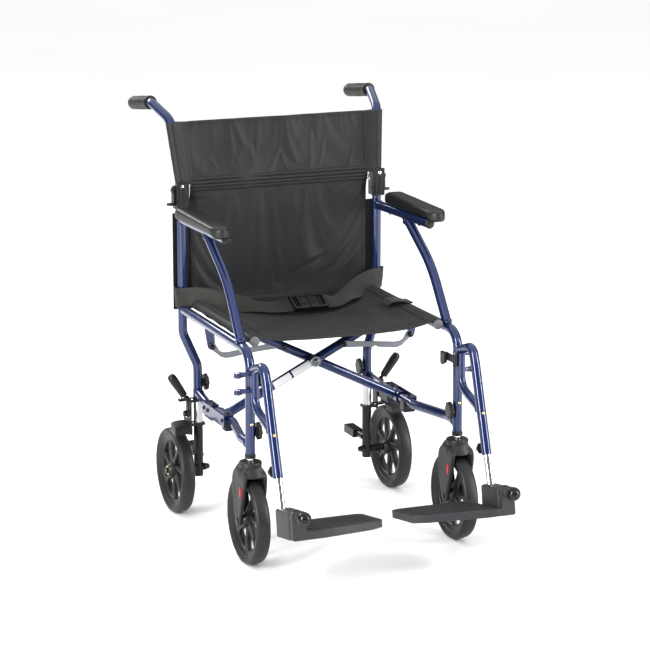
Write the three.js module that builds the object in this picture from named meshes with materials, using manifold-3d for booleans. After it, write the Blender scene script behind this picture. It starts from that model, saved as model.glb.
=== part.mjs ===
// Folding transport wheelchair: two side frames joined by a scissor cross brace, with swivelling
// front casters, fold-down back canes and swing-away footrests.
// Millimetres. +X is the chair's left-to-right axis, the seat faces -Y, +Z is up, z = 0 is the floor.
// Side pieces are described for the +X side and mirrored for the other one.
import * as THREE from "three";
import { mergeVertices } from "three/addons/utils/BufferGeometryUtils.js";
import Module from "manifold-3d";

const wasm = await Module();
wasm.setup();

// ---- driving dimensions ----
const CENTRE_SHIFT = -16;          // moves the whole chair so that the origin is mid-length
const TUBE = 11;                   // outer radius of the frame tubes
const SLIM_TUBE = 9.5;             // outer radius of the footrest pivot tube
const GAP = 0.3;                   // clearance where two pieces meet

const POST = { x: 246, y: 283, top: 721.5 };
const LEG = { x: 216, y: 267, top: 290, bottom: 81 };
const FRONT_POST = { x: 251, y: -183, bottom: 254.3 };
const SIDE_RAIL_Z = 486;
const LOWER_RAIL_Z = 278;

const WHEEL = { radius: 101.6, halfWidth: 17, facets: 24 };
WHEEL.axleZ = WHEEL.radius * Math.cos(Math.PI / WHEEL.facets);
const REAR_WHEEL = { x: 276, y: 261 };
const CASTER = { trail: 12, legInner: 19.5, legOuter: 27 };

const BRACE = { x: 221.5, footZ: 275, pivotZ: 386, frontY: 69, rearY: 92, travel: 44 * Math.PI / 180 };
BRACE.rise = BRACE.pivotZ - BRACE.footZ;
BRACE.arm = Math.hypot(BRACE.x, BRACE.rise);
BRACE.angle = Math.atan2(BRACE.rise, BRACE.x);
const SEAT_RAIL = { z: BRACE.footZ + 2 * BRACE.rise, front: -136, rear: 264 };
const LINK = { along: 78, frameX: 236, thick: 3, halfHeight: 7 };

const ARM = { x: 247, rearZ: 698, frontZ: 707, frontY: -27 };
const PAD = { inner: 238, outer: 286, front: -52, rear: 222, top: 740 };

const CANE_PIVOT = { x: 246, y: 289, z: 760 };
const GRIP = { radius: 16.5, length: 132 };

const SWING_PIN = { x: 283, y: -193, upper: 437, lower: 399 };
const HANGER = { x: 248, elbow: [-282, 436], end: [-348, 244] };
const FOOT = { x: 248, y: -374, z: 173, pitch: 10 * Math.PI / 180, pinX: 245 };

// ---- colours ----
const finish = (color, roughness, metalness) => new THREE.MeshStandardMaterial({ color, roughness, metalness });
const BLUE = finish(0x1c2f78, 0.25, 0.4);
const BLACK = finish(0x1d1d1f, 0.5, 0.0);
const DARK = finish(0x333436, 0.6, 0.0);
const RUBBER = finish(0x2b2b2c, 0.8, 0.0);
const CHROME = finish(0xd8dadd, 0.12, 1.0);
const STEEL = finish(0x9a9ca3, 0.4, 0.8);
const FABRIC = finish(0x2c2d30, 0.9, 0.0);
const WEBBING = finish(0x2a2924, 0.85, 0.0);

// ---- solids ----
function signedVolume(geometry) {
  const p = geometry.getAttribute("position");
  const index = geometry.getIndex();
  const [a, b, c] = [new THREE.Vector3(), new THREE.Vector3(), new THREE.Vector3()];
  let sum = 0;
  for (let i = 0; i < index.count; i += 3) {
    a.fromBufferAttribute(p, index.getX(i));
    b.fromBufferAttribute(p, index.getX(i + 1));
    c.fromBufferAttribute(p, index.getX(i + 2));
    sum += a.dot(b.cross(c));
  }
  return sum / 6;
}

/** Welds a geometry, drops its zero-width triangles and turns its faces outward. */
function closed(geometry) {
  const bare = geometry.clone();
  bare.deleteAttribute("normal");
  bare.deleteAttribute("uv");
  const welded = mergeVertices(bare, 1e-3);
  const old = welded.getIndex().array;
  const kept = [];
  for (let i = 0; i < old.length; i += 3) {
    const [a, b, c] = [old[i], old[i + 1], old[i + 2]];
    if (a !== b && b !== c && c !== a) kept.push(a, b, c);
  }
  welded.setIndex(kept);
  if (signedVolume(welded) < 0) {
    for (let i = 0; i < kept.length; i += 3) [kept[i], kept[i + 1]] = [kept[i + 1], kept[i]];
    welded.setIndex(kept);
  }
  return welded;
}

function toManifold(geometry) {
  const g = closed(geometry);
  return new wasm.Manifold(new wasm.Mesh({
    numProp: 3,
    vertProperties: new Float32Array(g.getAttribute("position").array),
    triVerts: new Uint32Array(g.getIndex().array),
  }));
}

function fromManifold(solid) {
  const mesh = solid.getMesh();
  const g = new THREE.BufferGeometry();
  g.setAttribute("position", new THREE.BufferAttribute(new Float32Array(mesh.vertProperties), 3));
  g.setIndex([...mesh.triVerts]);
  return g;
}

const join = (...parts) => fromManifold(parts.map(toManifold).reduce((a, b) => a.add(b)));
const cut = (part, ...tools) => fromManifold([part, ...tools].map(toManifold).reduce((a, b) => a.subtract(b)));
const common = (a, b) => fromManifold(toManifold(a).intersect(toManifold(b)));

/** The same solid on the other side of the chair. */
function mirrored(geometry) {
  return closed(geometry.clone().scale(-1, 1, 1));
}

const V = (x, y, z) => new THREE.Vector3(x, y, z);

/** A path of straight runs joined by round bends, sampled only where it turns. */
class BentPath extends THREE.Curve {
  constructor(corners, bend, stepsPerBend) {
    super();
    this.stations = [corners[0]];
    for (let i = 1; i < corners.length - 1; i++) {
      const into = corners[i].clone().sub(corners[i - 1]);
      const out = corners[i + 1].clone().sub(corners[i]);
      const room = Math.min(into.length(), out.length()) * 0.49;
      into.normalize();
      out.normalize();
      const turn = into.angleTo(out);
      const reach = Math.min(bend * Math.tan(turn / 2), room);
      const start = corners[i].clone().addScaledVector(into, -reach);
      const end = corners[i].clone().addScaledVector(out, reach);
      const inward = out.clone().sub(into).normalize();
      const radius = reach / Math.tan(turn / 2);
      const centre = corners[i].clone().addScaledVector(inward, radius / Math.cos(turn / 2));
      const from = start.clone().sub(centre);
      const axis = into.clone().cross(out).normalize();
      for (let k = 0; k < stepsPerBend; k++) {
        this.stations.push(centre.clone().add(from.clone().applyAxisAngle(axis, turn * k / stepsPerBend)));
      }
      this.stations.push(end);
    }
    this.stations.push(corners[corners.length - 1]);
    this.steps = this.stations.length - 1;
  }
  getPoint(t) {
    const at = Math.min(t * this.steps, this.steps - 1e-9);
    const i = Math.floor(at);
    return this.stations[i].clone().lerp(this.stations[i + 1], at - i);
  }
  getPointAt(u) {
    return this.getPoint(u);
  }
  getTangentAt(u) {
    const i = Math.round(u * this.steps);
    const before = this.stations[Math.max(i - 1, 0)];
    const after = this.stations[Math.min(i + 1, this.steps)];
    const here = this.stations[i];
    const a = here.clone().sub(before).normalize();
    const b = after.clone().sub(here).normalize();
    return a.add(b).normalize();
  }
}

function disc(radius, sides) {
  const shape = new THREE.Shape();
  for (let i = 0; i < sides; i++) {
    const t = (i + 0.5) / sides * 2 * Math.PI;
    shape[i ? "lineTo" : "moveTo"](radius * Math.cos(t), radius * Math.sin(t));
  }
  return shape;
}

function tube(corners, bend, radius = TUBE, sides = 10, stepsPerBend = 4) {
  const path = new BentPath(corners.map((c) => V(...c)), bend, stepsPerBend);
  return new THREE.ExtrudeGeometry(disc(radius, sides), { steps: path.steps, extrudePath: path });
}

function rod(a, b, radius, sides = 10, radiusEnd = radius) {
  const [from, to] = [V(...a), V(...b)];
  const g = new THREE.CylinderGeometry(radiusEnd, radius, from.distanceTo(to), sides);
  g.applyQuaternion(new THREE.Quaternion().setFromUnitVectors(V(0, 1, 0), to.clone().sub(from).normalize()));
  const middle = from.add(to).multiplyScalar(0.5);
  return g.translate(middle.x, middle.y, middle.z);
}

/** A box given by its lowest and highest corners. */
function block(x0, x1, y0, y1, z0, z1) {
  const g = new THREE.BoxGeometry(x1 - x0, y1 - y0, z1 - z0);
  return g.translate((x0 + x1) / 2, (y0 + y1) / 2, (z0 + z1) / 2);
}

function outline(points) {
  const shape = new THREE.Shape();
  points.forEach(([a, b], i) => shape[i ? "lineTo" : "moveTo"](a, b));
  shape.closePath();
  return shape;
}

const slab = (shape, depth, curveSegments = 3) =>
  new THREE.ExtrudeGeometry(shape, { depth, bevelEnabled: false, curveSegments });

/** An outline in the Y-Z plane, thickened from x0 to x1. */
function sideSlab(shape, x0, x1) {
  const g = slab(shape, x1 - x0);
  const turn = new THREE.Matrix4().makeBasis(V(0, 1, 0), V(0, 0, 1), V(1, 0, 0));
  return g.applyMatrix4(turn).translate(x0, 0, 0);
}

/** An outline in the X-Z plane, thickened from y0 to y1. */
function frontSlab(shape, y0, y1) {
  const g = slab(shape, y1 - y0);
  const turn = new THREE.Matrix4().makeBasis(V(1, 0, 0), V(0, 0, 1), V(0, -1, 0));
  return g.applyMatrix4(turn).translate(0, y1, 0);
}

/** An outline in the X-Y plane, thickened from z0 to z1. */
const flatSlab = (shape, z0, z1) => slab(shape, z1 - z0).translate(0, 0, z0);

function roundedRectangle(x0, x1, y0, y1, r) {
  const shape = new THREE.Shape();
  shape.moveTo(x0 + r, y0);
  shape.lineTo(x1 - r, y0);
  shape.absarc(x1 - r, y0 + r, r, -Math.PI / 2, 0);
  shape.lineTo(x1, y1 - r);
  shape.absarc(x1 - r, y1 - r, r, 0, Math.PI / 2);
  shape.lineTo(x0 + r, y1);
  shape.absarc(x0 + r, y1 - r, r, Math.PI / 2, Math.PI);
  shape.lineTo(x0, y0 + r);
  shape.absarc(x0 + r, y0 + r, r, Math.PI, 1.5 * Math.PI);
  return shape;
}

/** A turned solid whose profile is [radius, offset] along an axis parallel to X. */
function turned(profile, sides, x, y, z, phase = 0) {
  const points = profile.map(([r, offset]) => new THREE.Vector2(r, offset));
  const g = new THREE.LatheGeometry(points, sides, phase);
  return g.rotateZ(-Math.PI / 2).translate(x, y, z);
}

// ---- side frames ----
const rearPost = (radius = TUBE, longer = 0) => tube([
  [POST.x, POST.y, POST.top + longer],
  [POST.x, POST.y, 425],
  [LEG.x, LEG.y, 348],
  [LEG.x, LEG.y, LEG.top - longer],
], 45, radius);

const sideTube = (radius = TUBE) => tube([
  [POST.x, POST.y - 6, SIDE_RAIL_Z - 3],
  [FRONT_POST.x - 1, FRONT_POST.y, SIDE_RAIL_Z + 1],
  [FRONT_POST.x, FRONT_POST.y, FRONT_POST.bottom],
], 42, radius);

/** What a tube that meets the rear post or the side tube is coped with. */
const aroundPost = () => rearPost(TUBE + 2 * GAP, 20);
const aroundSideTube = () => sideTube(TUBE + 2 * GAP);

/** The front end of a guide link: the same distance from the brace open and folded. */
function linkAnchor() {
  const onBrace = (angle) => [
    BRACE.x - (BRACE.arm - LINK.along) * Math.cos(angle),
    BRACE.footZ + (BRACE.arm + LINK.along) * Math.sin(angle),
  ];
  const open = onBrace(BRACE.angle);
  const shut = onBrace(BRACE.angle + BRACE.travel);
  const [dx, dz] = [shut[0] - open[0], shut[1] - open[1]];
  const [mx, mz] = [(open[0] + shut[0]) / 2, (open[1] + shut[1]) / 2];
  return { pin: open, frame: [LINK.frameX, mz - dx * (LINK.frameX - mx) / dz] };
}
const ANCHOR = linkAnchor();

function swingLug(z) {
  const arm = block(-6, 6, 0, Math.hypot(SWING_PIN.x - FRONT_POST.x, SWING_PIN.y - FRONT_POST.y), -3, 3);
  arm.rotateZ(Math.atan2(-(SWING_PIN.x - FRONT_POST.x), SWING_PIN.y - FRONT_POST.y));
  arm.translate(FRONT_POST.x, FRONT_POST.y, z);
  const eye = rod([SWING_PIN.x, SWING_PIN.y, z - 3], [SWING_PIN.x, SWING_PIN.y, z + 3], 9);
  return join(arm, eye);
}

function seatSideTube(tabY) {
  const [x, z] = ANCHOR.frame;
  const tab = block(x - 8, FRONT_POST.x + 5, tabY, tabY + LINK.thick, z - 9, SIDE_RAIL_Z - 5);
  const hole = rod([SWING_PIN.x, SWING_PIN.y, 380], [SWING_PIN.x, SWING_PIN.y, 460], 4.4);
  const whole = join(sideTube(), tab, swingLug(SWING_PIN.upper), swingLug(SWING_PIN.lower));
  return cut(whole, aroundPost(), hole);
}

function lowerRail() {
  const rail = tube([
    [LEG.x + 1, LEG.y - 3, LOWER_RAIL_Z + 5],
    [BRACE.x, 190, BRACE.footZ],
    [BRACE.x, 5, BRACE.footZ],
    [FRONT_POST.x, -128, LOWER_RAIL_Z],
    [FRONT_POST.x, FRONT_POST.y, LOWER_RAIL_Z],
  ], 60, TUBE, 10, 3);
  const clamp = (y0, y1) => block(BRACE.x - 15, BRACE.x + 17, y0, y1, BRACE.footZ - 21, BRACE.footZ + 9);
  const cover = block(BRACE.x + 15, BRACE.x + 18.5, 20, 168, BRACE.footZ - 17, BRACE.footZ + 15);
  return cut(join(rail, clamp(20, 44), clamp(118, 168), cover), aroundPost(), aroundSideTube());
}

function armFrame() {
  const top = tube([[ARM.x, POST.y - 6, ARM.rearZ], [ARM.x, ARM.frontY, ARM.frontZ]], 1);
  const strut = tube([
    [ARM.x, 105, 698],
    [ARM.x + 1, -38, 612],
    [ARM.x + 2.6, -127, 492],
  ], 260, TUBE, 10, 5);
  return cut(join(top, strut), aroundPost(), aroundSideTube());
}

function armPad() {
  const under = (y) => ARM.rearZ + (ARM.frontZ - ARM.rearZ) * (POST.y - y) / (POST.y - ARM.frontY) + TUBE + 0.5;
  const side = outline([
    [PAD.rear, under(PAD.rear)],
    [PAD.rear, PAD.top - 10],
    [PAD.rear - 30, PAD.top - 2],
    [90, PAD.top],
    [PAD.front + 40, PAD.top + 1],
    [PAD.front + 12, PAD.top - 4],
    [PAD.front, PAD.top - 14],
    [PAD.front + 2, PAD.top - 30],
    [ARM.frontY - 6, PAD.top - 30],
    [ARM.frontY - 2, under(ARM.frontY)],
  ]);
  const plan = new THREE.Shape();
  const middle = (PAD.inner + PAD.outer) / 2;
  const half = (PAD.outer - PAD.inner) / 2;
  plan.moveTo(PAD.inner + 5, PAD.rear + 1);
  plan.lineTo(PAD.inner, PAD.rear - 30);
  plan.lineTo(PAD.inner, PAD.front + half);
  plan.absellipse(middle, PAD.front + half, half, half + 1, Math.PI, 2 * Math.PI);
  plan.lineTo(PAD.outer, PAD.rear - 30);
  plan.lineTo(PAD.outer - 5, PAD.rear + 1);
  plan.closePath();
  const crown = slab(outline([
    [PAD.inner - 1, 600],
    [PAD.inner - 1, PAD.top - 12],
    [PAD.inner + 9, PAD.top - 3],
    [middle, PAD.top + 1],
    [PAD.outer - 9, PAD.top - 3],
    [PAD.outer + 1, PAD.top - 12],
    [PAD.outer + 1, 600],
  ]), 500);
  crown.applyMatrix4(new THREE.Matrix4().makeBasis(V(1, 0, 0), V(0, 0, 1), V(0, -1, 0))).translate(0, 350, 0);
  return common(common(sideSlab(side, PAD.inner - 2, PAD.outer + 2), flatSlab(plan, 600, 800)), crown);
}

function rearLeg() {
  const post = rod([LEG.x, LEG.y, LEG.top - GAP], [LEG.x, LEG.y, LEG.bottom], TUBE);
  const clampPlate = (z) => flatSlab(outline([
    [LEG.x - 15, LEG.y - 10], [LEG.x - 9, LEG.y - 16], [LEG.x + 24, LEG.y - 16], [LEG.x + 24, LEG.y + 2],
    [262, LEG.y + 2], [262, LEG.y + 14], [LEG.x - 9, LEG.y + 14], [LEG.x - 15, LEG.y + 8],
  ]), z, z + 6);
  const sidePlate = block(236, 240, LEG.y - 14, LEG.y + 12, 200, 268);
  const axleZ = WHEEL.axleZ;
  const axle = rod([LEG.x - 16, REAR_WHEEL.y, axleZ], [REAR_WHEEL.x + 24, REAR_WHEEL.y, axleZ], 5, 8);
  const nut = rod([LEG.x - 21, REAR_WHEEL.y, axleZ], [LEG.x - TUBE + 1, REAR_WHEEL.y, axleZ], 8, 6);
  const endCap = rod([REAR_WHEEL.x + 21, REAR_WHEEL.y, axleZ], [REAR_WHEEL.x + 25, REAR_WHEEL.y, axleZ], 8, 8);
  const spacer = rod([LEG.x, REAR_WHEEL.y, axleZ], [REAR_WHEEL.x - 21, REAR_WHEEL.y, axleZ], 8.5);
  const tipper = rod([LEG.x - 6, LEG.y + 2, 128], [LEG.x - 9, 322, 129], 8);
  const pedal = block(LEG.x - 22, LEG.x + 3, 300, 359, 119, 139);
  return join(post, clampPlate(262), clampPlate(204), sidePlate, axle, nut, endCap, spacer, tipper, pedal);
}

// ---- wheels ----
const HALF_FACET = Math.PI / WHEEL.facets;
const TYRE_PROFILE = [
  [84, -12], [94, -WHEEL.halfWidth], [WHEEL.radius, -8],
  [WHEEL.radius, 8], [94, WHEEL.halfWidth], [84, 12], [84, -12],
];

function wheelBody(x, y, halfHub, bore) {
  const z = WHEEL.axleZ;
  const ring = turned([[70, -9], [83.7, -13], [83.7, 13], [70, 9], [70, -9]], WHEEL.facets, x, y, z, HALF_FACET);
  const hub = rod([x - halfHub, y, z], [x + halfHub, y, z], 17);
  const spokes = [];
  for (let k = 0; k < 7; k++) {
    const spoke = block(-6, 6, -6, 6, 10, 75);
    spokes.push(spoke.rotateX(k * 2 * Math.PI / 7).translate(x, y, z));
  }
  return cut(join(ring, hub, ...spokes), rod([x - 40, y, z], [x + 40, y, z], bore, 8));
}

const tyre = (x, y) => turned(TYRE_PROFILE, WHEEL.facets, x, y, WHEEL.axleZ, HALF_FACET);

function casterWheel() {
  const [x, y] = [FRONT_POST.x, FRONT_POST.y + CASTER.trail];
  return join(tyre(x, y), turned([[83, -12.5], [85, -12.5], [85, 12.5], [83, 12.5], [83, -12.5]],
    WHEEL.facets, x, y, WHEEL.axleZ, HALF_FACET), wheelBody(x, y, 17.5, 5.6));
}

function casterFork() {
  const { x, y } = FRONT_POST;
  const axleY = y + CASTER.trail;
  const collar = rod([x, y, 247], [x, y, FRONT_POST.bottom - GAP], 12.5);
  const stem = rod([x, y, 232], [x, y, 250], 8.5);
  const disk = rod([x, y, 229], [x, y, 239], 26, 14);
  const crown = rod([x, y + 2, 206.5], [x, y, 232], 34, 14, 24);
  const leg = outline([
    [y - 30, 222], [y + 34, 222], [axleY + 36, 180], [axleY + 24, 120],
    [axleY + 13, WHEEL.axleZ - 12], [axleY - 6, WHEEL.axleZ - 15], [axleY - 17, 112], [y - 24, 170], [y - 36, 205],
  ]);
  const legs = [[-CASTER.legOuter, -CASTER.legInner], [CASTER.legInner, CASTER.legOuter]]
    .map(([a, b]) => sideSlab(leg, x + a, x + b));
  const axle = rod([x - 30, axleY, WHEEL.axleZ], [x + 30, axleY, WHEEL.axleZ], 5, 8);
  return join(collar, stem, disk, crown, ...legs, axle);
}

// ---- brakes and hand knobs ----
function brakeLever() {
  const pivot = rod([240.5, 258, 236], [256, 258, 236], 7, 10);
  const blade = block(243, 248, 250, 266, 232, 276);
  const neck = rod([246, 257, 270], [256, 256, 284], 4.5, 8);
  const grip = rod([254, 256, 280], [288, 251, 332], 8, 10, 10.5);
  return join(pivot, blade, neck, grip);
}

function brakeShoe() {
  const arm = block(249.5, 254, 214, 262, 214, 228);
  const shoe = sideSlab(outline([[200, 200], [232, 212], [232, 230], [200, 222]]), 253, 296);
  return join(arm, shoe);
}

function starKnob(x, y, z) {
  const star = new THREE.Shape();
  const lobes = 8;
  for (let i = 0; i < lobes * 3; i++) {
    const t = i / (lobes * 3) * 2 * Math.PI;
    const r = i % 3 === 0 ? 16.5 : 21;
    star[i ? "lineTo" : "moveTo"](y + r * Math.cos(t), z + r * Math.sin(t));
  }
  star.closePath();
  const body = sideSlab(star, x - 13, x - 4);
  const boss = rod([x - 6, y, z], [x - GAP, y, z], 9, 10);
  return join(body, boss);
}

// ---- footrests ----
const drop = V(0, HANGER.end[0] - HANGER.elbow[0], HANGER.end[1] - HANGER.elbow[1]).normalize();
const alongDrop = (distance, radial = 0) => [
  HANGER.x + radial,
  HANGER.end[0] + drop.y * distance,
  HANGER.end[1] + drop.z * distance,
];

function hangerEar(z) {
  const from = [HANGER.x, -205];
  const length = Math.hypot(SWING_PIN.x - from[0], SWING_PIN.y - from[1]);
  const strip = block(0, length, -6, 6, 0, 4);
  strip.rotateZ(Math.atan2(SWING_PIN.y - from[1], SWING_PIN.x - from[0])).translate(from[0], from[1], z);
  const eye = rod([SWING_PIN.x, SWING_PIN.y, z], [SWING_PIN.x, SWING_PIN.y, z + 4], 8);
  const pin = rod([SWING_PIN.x, SWING_PIN.y, z - 9], [SWING_PIN.x, SWING_PIN.y, z + 5], 4);
  return join(strip, eye, pin);
}

function hanger() {
  const main = tube([
    [HANGER.x, -206, 452],
    [HANGER.x, -266, 472],
    [HANGER.x, ...HANGER.elbow],
    [HANGER.x, ...HANGER.end],
  ], 28);
  const pivotTube = tube([
    [HANGER.x, -205, 452],
    [HANGER.x, -209, 368],
    [HANGER.x, -312, 338],
  ], 34, SLIM_TUBE);
  const screw = rod([HANGER.x, -333, 258], [HANGER.x, -312, 265], 7, 8);
  const screwHead = rod([HANGER.x, -315, 264], [HANGER.x, -306, 267], 11, 8);
  const whole = join(main, pivotTube, screw, screwHead,
    hangerEar(SWING_PIN.upper + 3.4), hangerEar(SWING_PIN.lower + 3.4));
  return cut(whole, rod(alongDrop(-165), alongDrop(5), 9.4));
}

function latch() {
  const barrel = rod([232.5, -207, 414], [232.5, -207, 442], 5, 8);
  const bar = block(228.5, 237.5, -206, -150, 421, 436);
  const thumb = block(221, 229, -172, -150, 417, 439);
  return join(barrel, bar, thumb);
}

/** Places a piece built with X across, Y forward and Z up onto the tilted footrest frame. */
function onFoot(geometry) {
  return geometry.applyMatrix4(new THREE.Matrix4()
    .makeTranslation(0, FOOT.y, FOOT.z)
    .multiply(new THREE.Matrix4().makeRotationX(-FOOT.pitch))
    .multiply(new THREE.Matrix4().makeScale(1, -1, 1)));
}

const footrestTube = (radius = 9) => rod(alongDrop(-112), alongDrop(96), radius);

function heelBracket() {
  const body = onFoot(flatSlab(roundedRectangle(226, 262, -15, 78, 10), -50, 10));
  const pinBore = onFoot(rod([FOOT.pinX, 30, 0], [FOOT.pinX, 100, 0], 5.4));
  return cut(body, footrestTube(9 + GAP), rod(alongDrop(60), alongDrop(110), 9 + GAP), pinBore);
}

function footplatePin() {
  const pin = onFoot(rod([FOOT.pinX, 48, 0], [FOOT.pinX, 118, 0], 5));
  const ball = onFoot(new THREE.SphereGeometry(15.5, 10, 7).translate(FOOT.pinX, 121, 0));
  return join(pin, ball);
}

function footplate() {
  const plate = flatSlab(outline([
    [35, -70], [50, -80], [224, -80], [224, 79], [260, 79], [260, 92], [190, 92], [66, 64], [35, 42],
  ]), -50, -32);
  const flange = flatSlab(outline([[229, 79], [261, 79], [261, 92], [229, 92]]), -50, 12);
  const hole = onFoot(rod([FOOT.pinX, 60, 0], [FOOT.pinX, 110, 0], 5.4));
  return cut(onFoot(join(plate, flange)), hole);
}

// ---- cross brace ----
/** One brace tube: a sleeve on the lower rail at -side, and a seat rail welded on at +side. */
function braceTube(side, y) {
  const foot = [-side * BRACE.x, y, BRACE.footZ];
  const head = [side * BRACE.x, y, SEAT_RAIL.z];
  const leg = rod(foot, head, TUBE);
  const sleeve = rod([foot[0], y - 24, foot[2]], [foot[0], y + 24, foot[2]], 14.5);
  const rail = rod([head[0], SEAT_RAIL.front, head[2]], [head[0], SEAT_RAIL.rear, head[2]], TUBE);
  const railBore = rod([foot[0], y - 40, foot[2]], [foot[0], y + 40, foot[2]], TUBE + 1);
  const boltHole = rod([0, y - 20, BRACE.pivotZ], [0, y + 20, BRACE.pivotZ], 4.4, 10);
  return cut(join(leg, sleeve, rail), railBore, boltHole);
}

function pivotBolt() {
  const z = BRACE.pivotZ;
  const [front, back] = [BRACE.frontY - TUBE - GAP, BRACE.rearY + TUBE + GAP];
  const shank = rod([0, front - 1, z], [0, back + 1, z], 4, 10);
  const washer = rod([0, front - 3, z], [0, front, z], 13);
  const head = rod([0, front - 8, z], [0, front - 2, z], 6, 6);
  const nut = rod([0, back, z], [0, back + 7, z], 8, 6);
  return join(shank, washer, head, nut);
}

function guideLink(y) {
  const [px, pz] = ANCHOR.pin;
  const [fx, fz] = ANCHOR.frame;
  const strip = outline([
    [px - 3, pz + LINK.halfHeight], [px - 3, pz - LINK.halfHeight], [208, 401], [fx + 5, fz - LINK.halfHeight],
    [fx + 3, fz + LINK.halfHeight + 1], [fx - 6, fz + LINK.halfHeight], [202, 415],
  ]);
  const flat = frontSlab(strip, y, y + LINK.thick);
  const eyes = [[px, pz], [fx, fz]].map(([x, z]) => rod([x, y, z], [x, y + LINK.thick, z], 8));
  return join(flat, ...eyes);
}

// ---- back ----
function backHinge() {
  const { x, y, z } = CANE_PIVOT;
  const base = block(x - 15, x + 15, 269, 300, POST.top + GAP, 742);
  const web = block(x - 15, x + 15, 268, 272.5, POST.top + GAP, 787);
  const cheeks = [[-15, -11.4], [11.4, 15]].map(([a, b]) => block(x + a, x + b, 270, 300, 738, 776));
  const pin = rod([x - 16, y, z], [x + 16, y, z], 3.5, 10);
  return join(base, web, ...cheeks, pin);
}

function cane() {
  const { x, y, z } = CANE_PIVOT;
  const pipe = tube([
    [x, y - 3, 752],
    [x, y - 2, 786],
    [259, 314, 925],
    [277, 400, 956],
    [277, 531, 937],
  ], 38);
  return cut(pipe, rod([x - 20, y, z], [x + 20, y, z], 3.9, 10));
}

function handGrip() {
  const from = V(277, 400, 956);
  const way = V(277, 531, 937).sub(from).normalize();
  const r = TUBE + 0.8;
  const profile = [
    [r, 0], [GRIP.radius, 0], [GRIP.radius, 8], [GRIP.radius - 1.5, 12], [GRIP.radius, 40], [GRIP.radius, 122],
    [GRIP.radius - 3, GRIP.length], [0, GRIP.length], [0, GRIP.length - 3], [r, GRIP.length - 3], [r, 0],
  ];
  const g = new THREE.LatheGeometry(profile.map(([a, b]) => new THREE.Vector2(a, b)), 12);
  g.applyQuaternion(new THREE.Quaternion().setFromUnitVectors(V(0, 1, 0), way));
  const start = from.addScaledVector(way, 8);
  return g.translate(start.x, start.y, start.z);
}

function releaseLever() {
  const x = CANE_PIVOT.x + 16.6;
  return join(block(x, x + 4, 277, 295, 731, 775), block(x, x + 18, 279, 293, 731, 736));
}

// ---- soft parts ----
const seatSling = () => block(-BRACE.x + 12, BRACE.x - 12, -133, 258, 504.5, 508.5);

function backLower() {
  const wide = POST.x + 16;
  const narrow = CANE_PIVOT.x - 20;
  return frontSlab(outline([
    [-wide, 512], [wide, 512], [wide, 708], [narrow, 716], [narrow, 772],
    [-narrow, 772], [-narrow, 716], [-wide, 708],
  ]), 296, 300);
}

function backUpper() {
  const lean = Math.atan2(24, 140);
  const panel = block(-229, 229, -3, 3, 0, 142);
  return panel.rotateX(-lean).translate(0, 289, 776);
}

function belt() {
  return flatSlab(outline([[44, 82], [44, 124], [233, 268], [233, 214]]), 511, 514);
}

const buckleHalf = () => block(0.3, 42, 76, 130, 510, 524);

// ---- assembly ----
const chair = new THREE.Group();
chair.position.y = CENTRE_SHIFT;

function add(name, geometry, material) {
  const mesh = new THREE.Mesh(closed(geometry), material);
  mesh.name = name;
  chair.add(mesh);
}

/** Adds a piece described on the +X side, and its mirror image. */
function addPair(name, geometry, material) {
  add(`${name}_right`, geometry, material);
  add(`${name}_left`, mirrored(geometry), material);
}

const FRONT_LINK_Y = BRACE.frontY - TUBE - 0.6 - LINK.thick;
const REAR_LINK_Y = BRACE.rearY + TUBE + 0.6;

addPair("rear_post", rearPost(), BLUE);
add("seat_side_tube_right", seatSideTube(FRONT_LINK_Y - LINK.thick - 0.6), BLUE);
add("seat_side_tube_left", mirrored(seatSideTube(REAR_LINK_Y + LINK.thick + 0.6)), BLUE);
addPair("lower_rail", lowerRail(), BLUE);
addPair("arm_frame", armFrame(), BLUE);
addPair("arm_pad", armPad(), BLACK);
addPair("rear_leg", rearLeg(), BLACK);
addPair("rear_rim", wheelBody(REAR_WHEEL.x, REAR_WHEEL.y, 20, 5.6), BLACK);
addPair("rear_tyre", tyre(REAR_WHEEL.x, REAR_WHEEL.y), RUBBER);
addPair("caster_fork", casterFork(), BLACK);
addPair("caster_wheel", casterWheel(), DARK);
addPair("brake_lever", brakeLever(), BLACK);
addPair("brake_shoe", brakeShoe(), BLACK);
addPair("rear_knob", starKnob(LEG.x - TUBE, LEG.y, 306), BLACK);
addPair("front_knob", starKnob(FRONT_POST.x - TUBE, FRONT_POST.y, 306), BLACK);
addPair("hanger", hanger(), BLUE);
addPair("hanger_latch", latch(), BLACK);
addPair("footrest_tube", footrestTube(), CHROME);
addPair("heel_bracket", heelBracket(), DARK);
addPair("footplate_pin", footplatePin(), BLACK);
addPair("footplate", footplate(), DARK);
add("brace_tube_b", braceTube(1, BRACE.frontY), BLUE);
add("brace_tube_a", braceTube(-1, BRACE.rearY), BLUE);
add("pivot_bolt", pivotBolt(), STEEL);
add("guide_link_right", guideLink(FRONT_LINK_Y), STEEL);
add("guide_link_left", mirrored(guideLink(REAR_LINK_Y)), STEEL);
addPair("back_hinge", backHinge(), BLACK);
addPair("cane", cane(), BLUE);
addPair("hand_grip", handGrip(), RUBBER);
addPair("back_release", releaseLever(), BLACK);
add("seat_sling", seatSling(), FABRIC);
add("back_lower_panel", backLower(), FABRIC);
add("back_upper_panel", backUpper(), FABRIC);
addPair("lap_belt", belt(), WEBBING);
add("buckle_tongue", buckleHalf(), BLACK);
add("buckle_socket", mirrored(buckleHalf()), BLACK);

export default chair;
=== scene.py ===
"""The visual model of a folding transport wheelchair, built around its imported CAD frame.

Shapes are written in millimetres in the frame's own axes, for the chair's +X side, and mirrored.
"""
import math

import bmesh
import bpy
from mathutils import Matrix, Vector, noise


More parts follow.
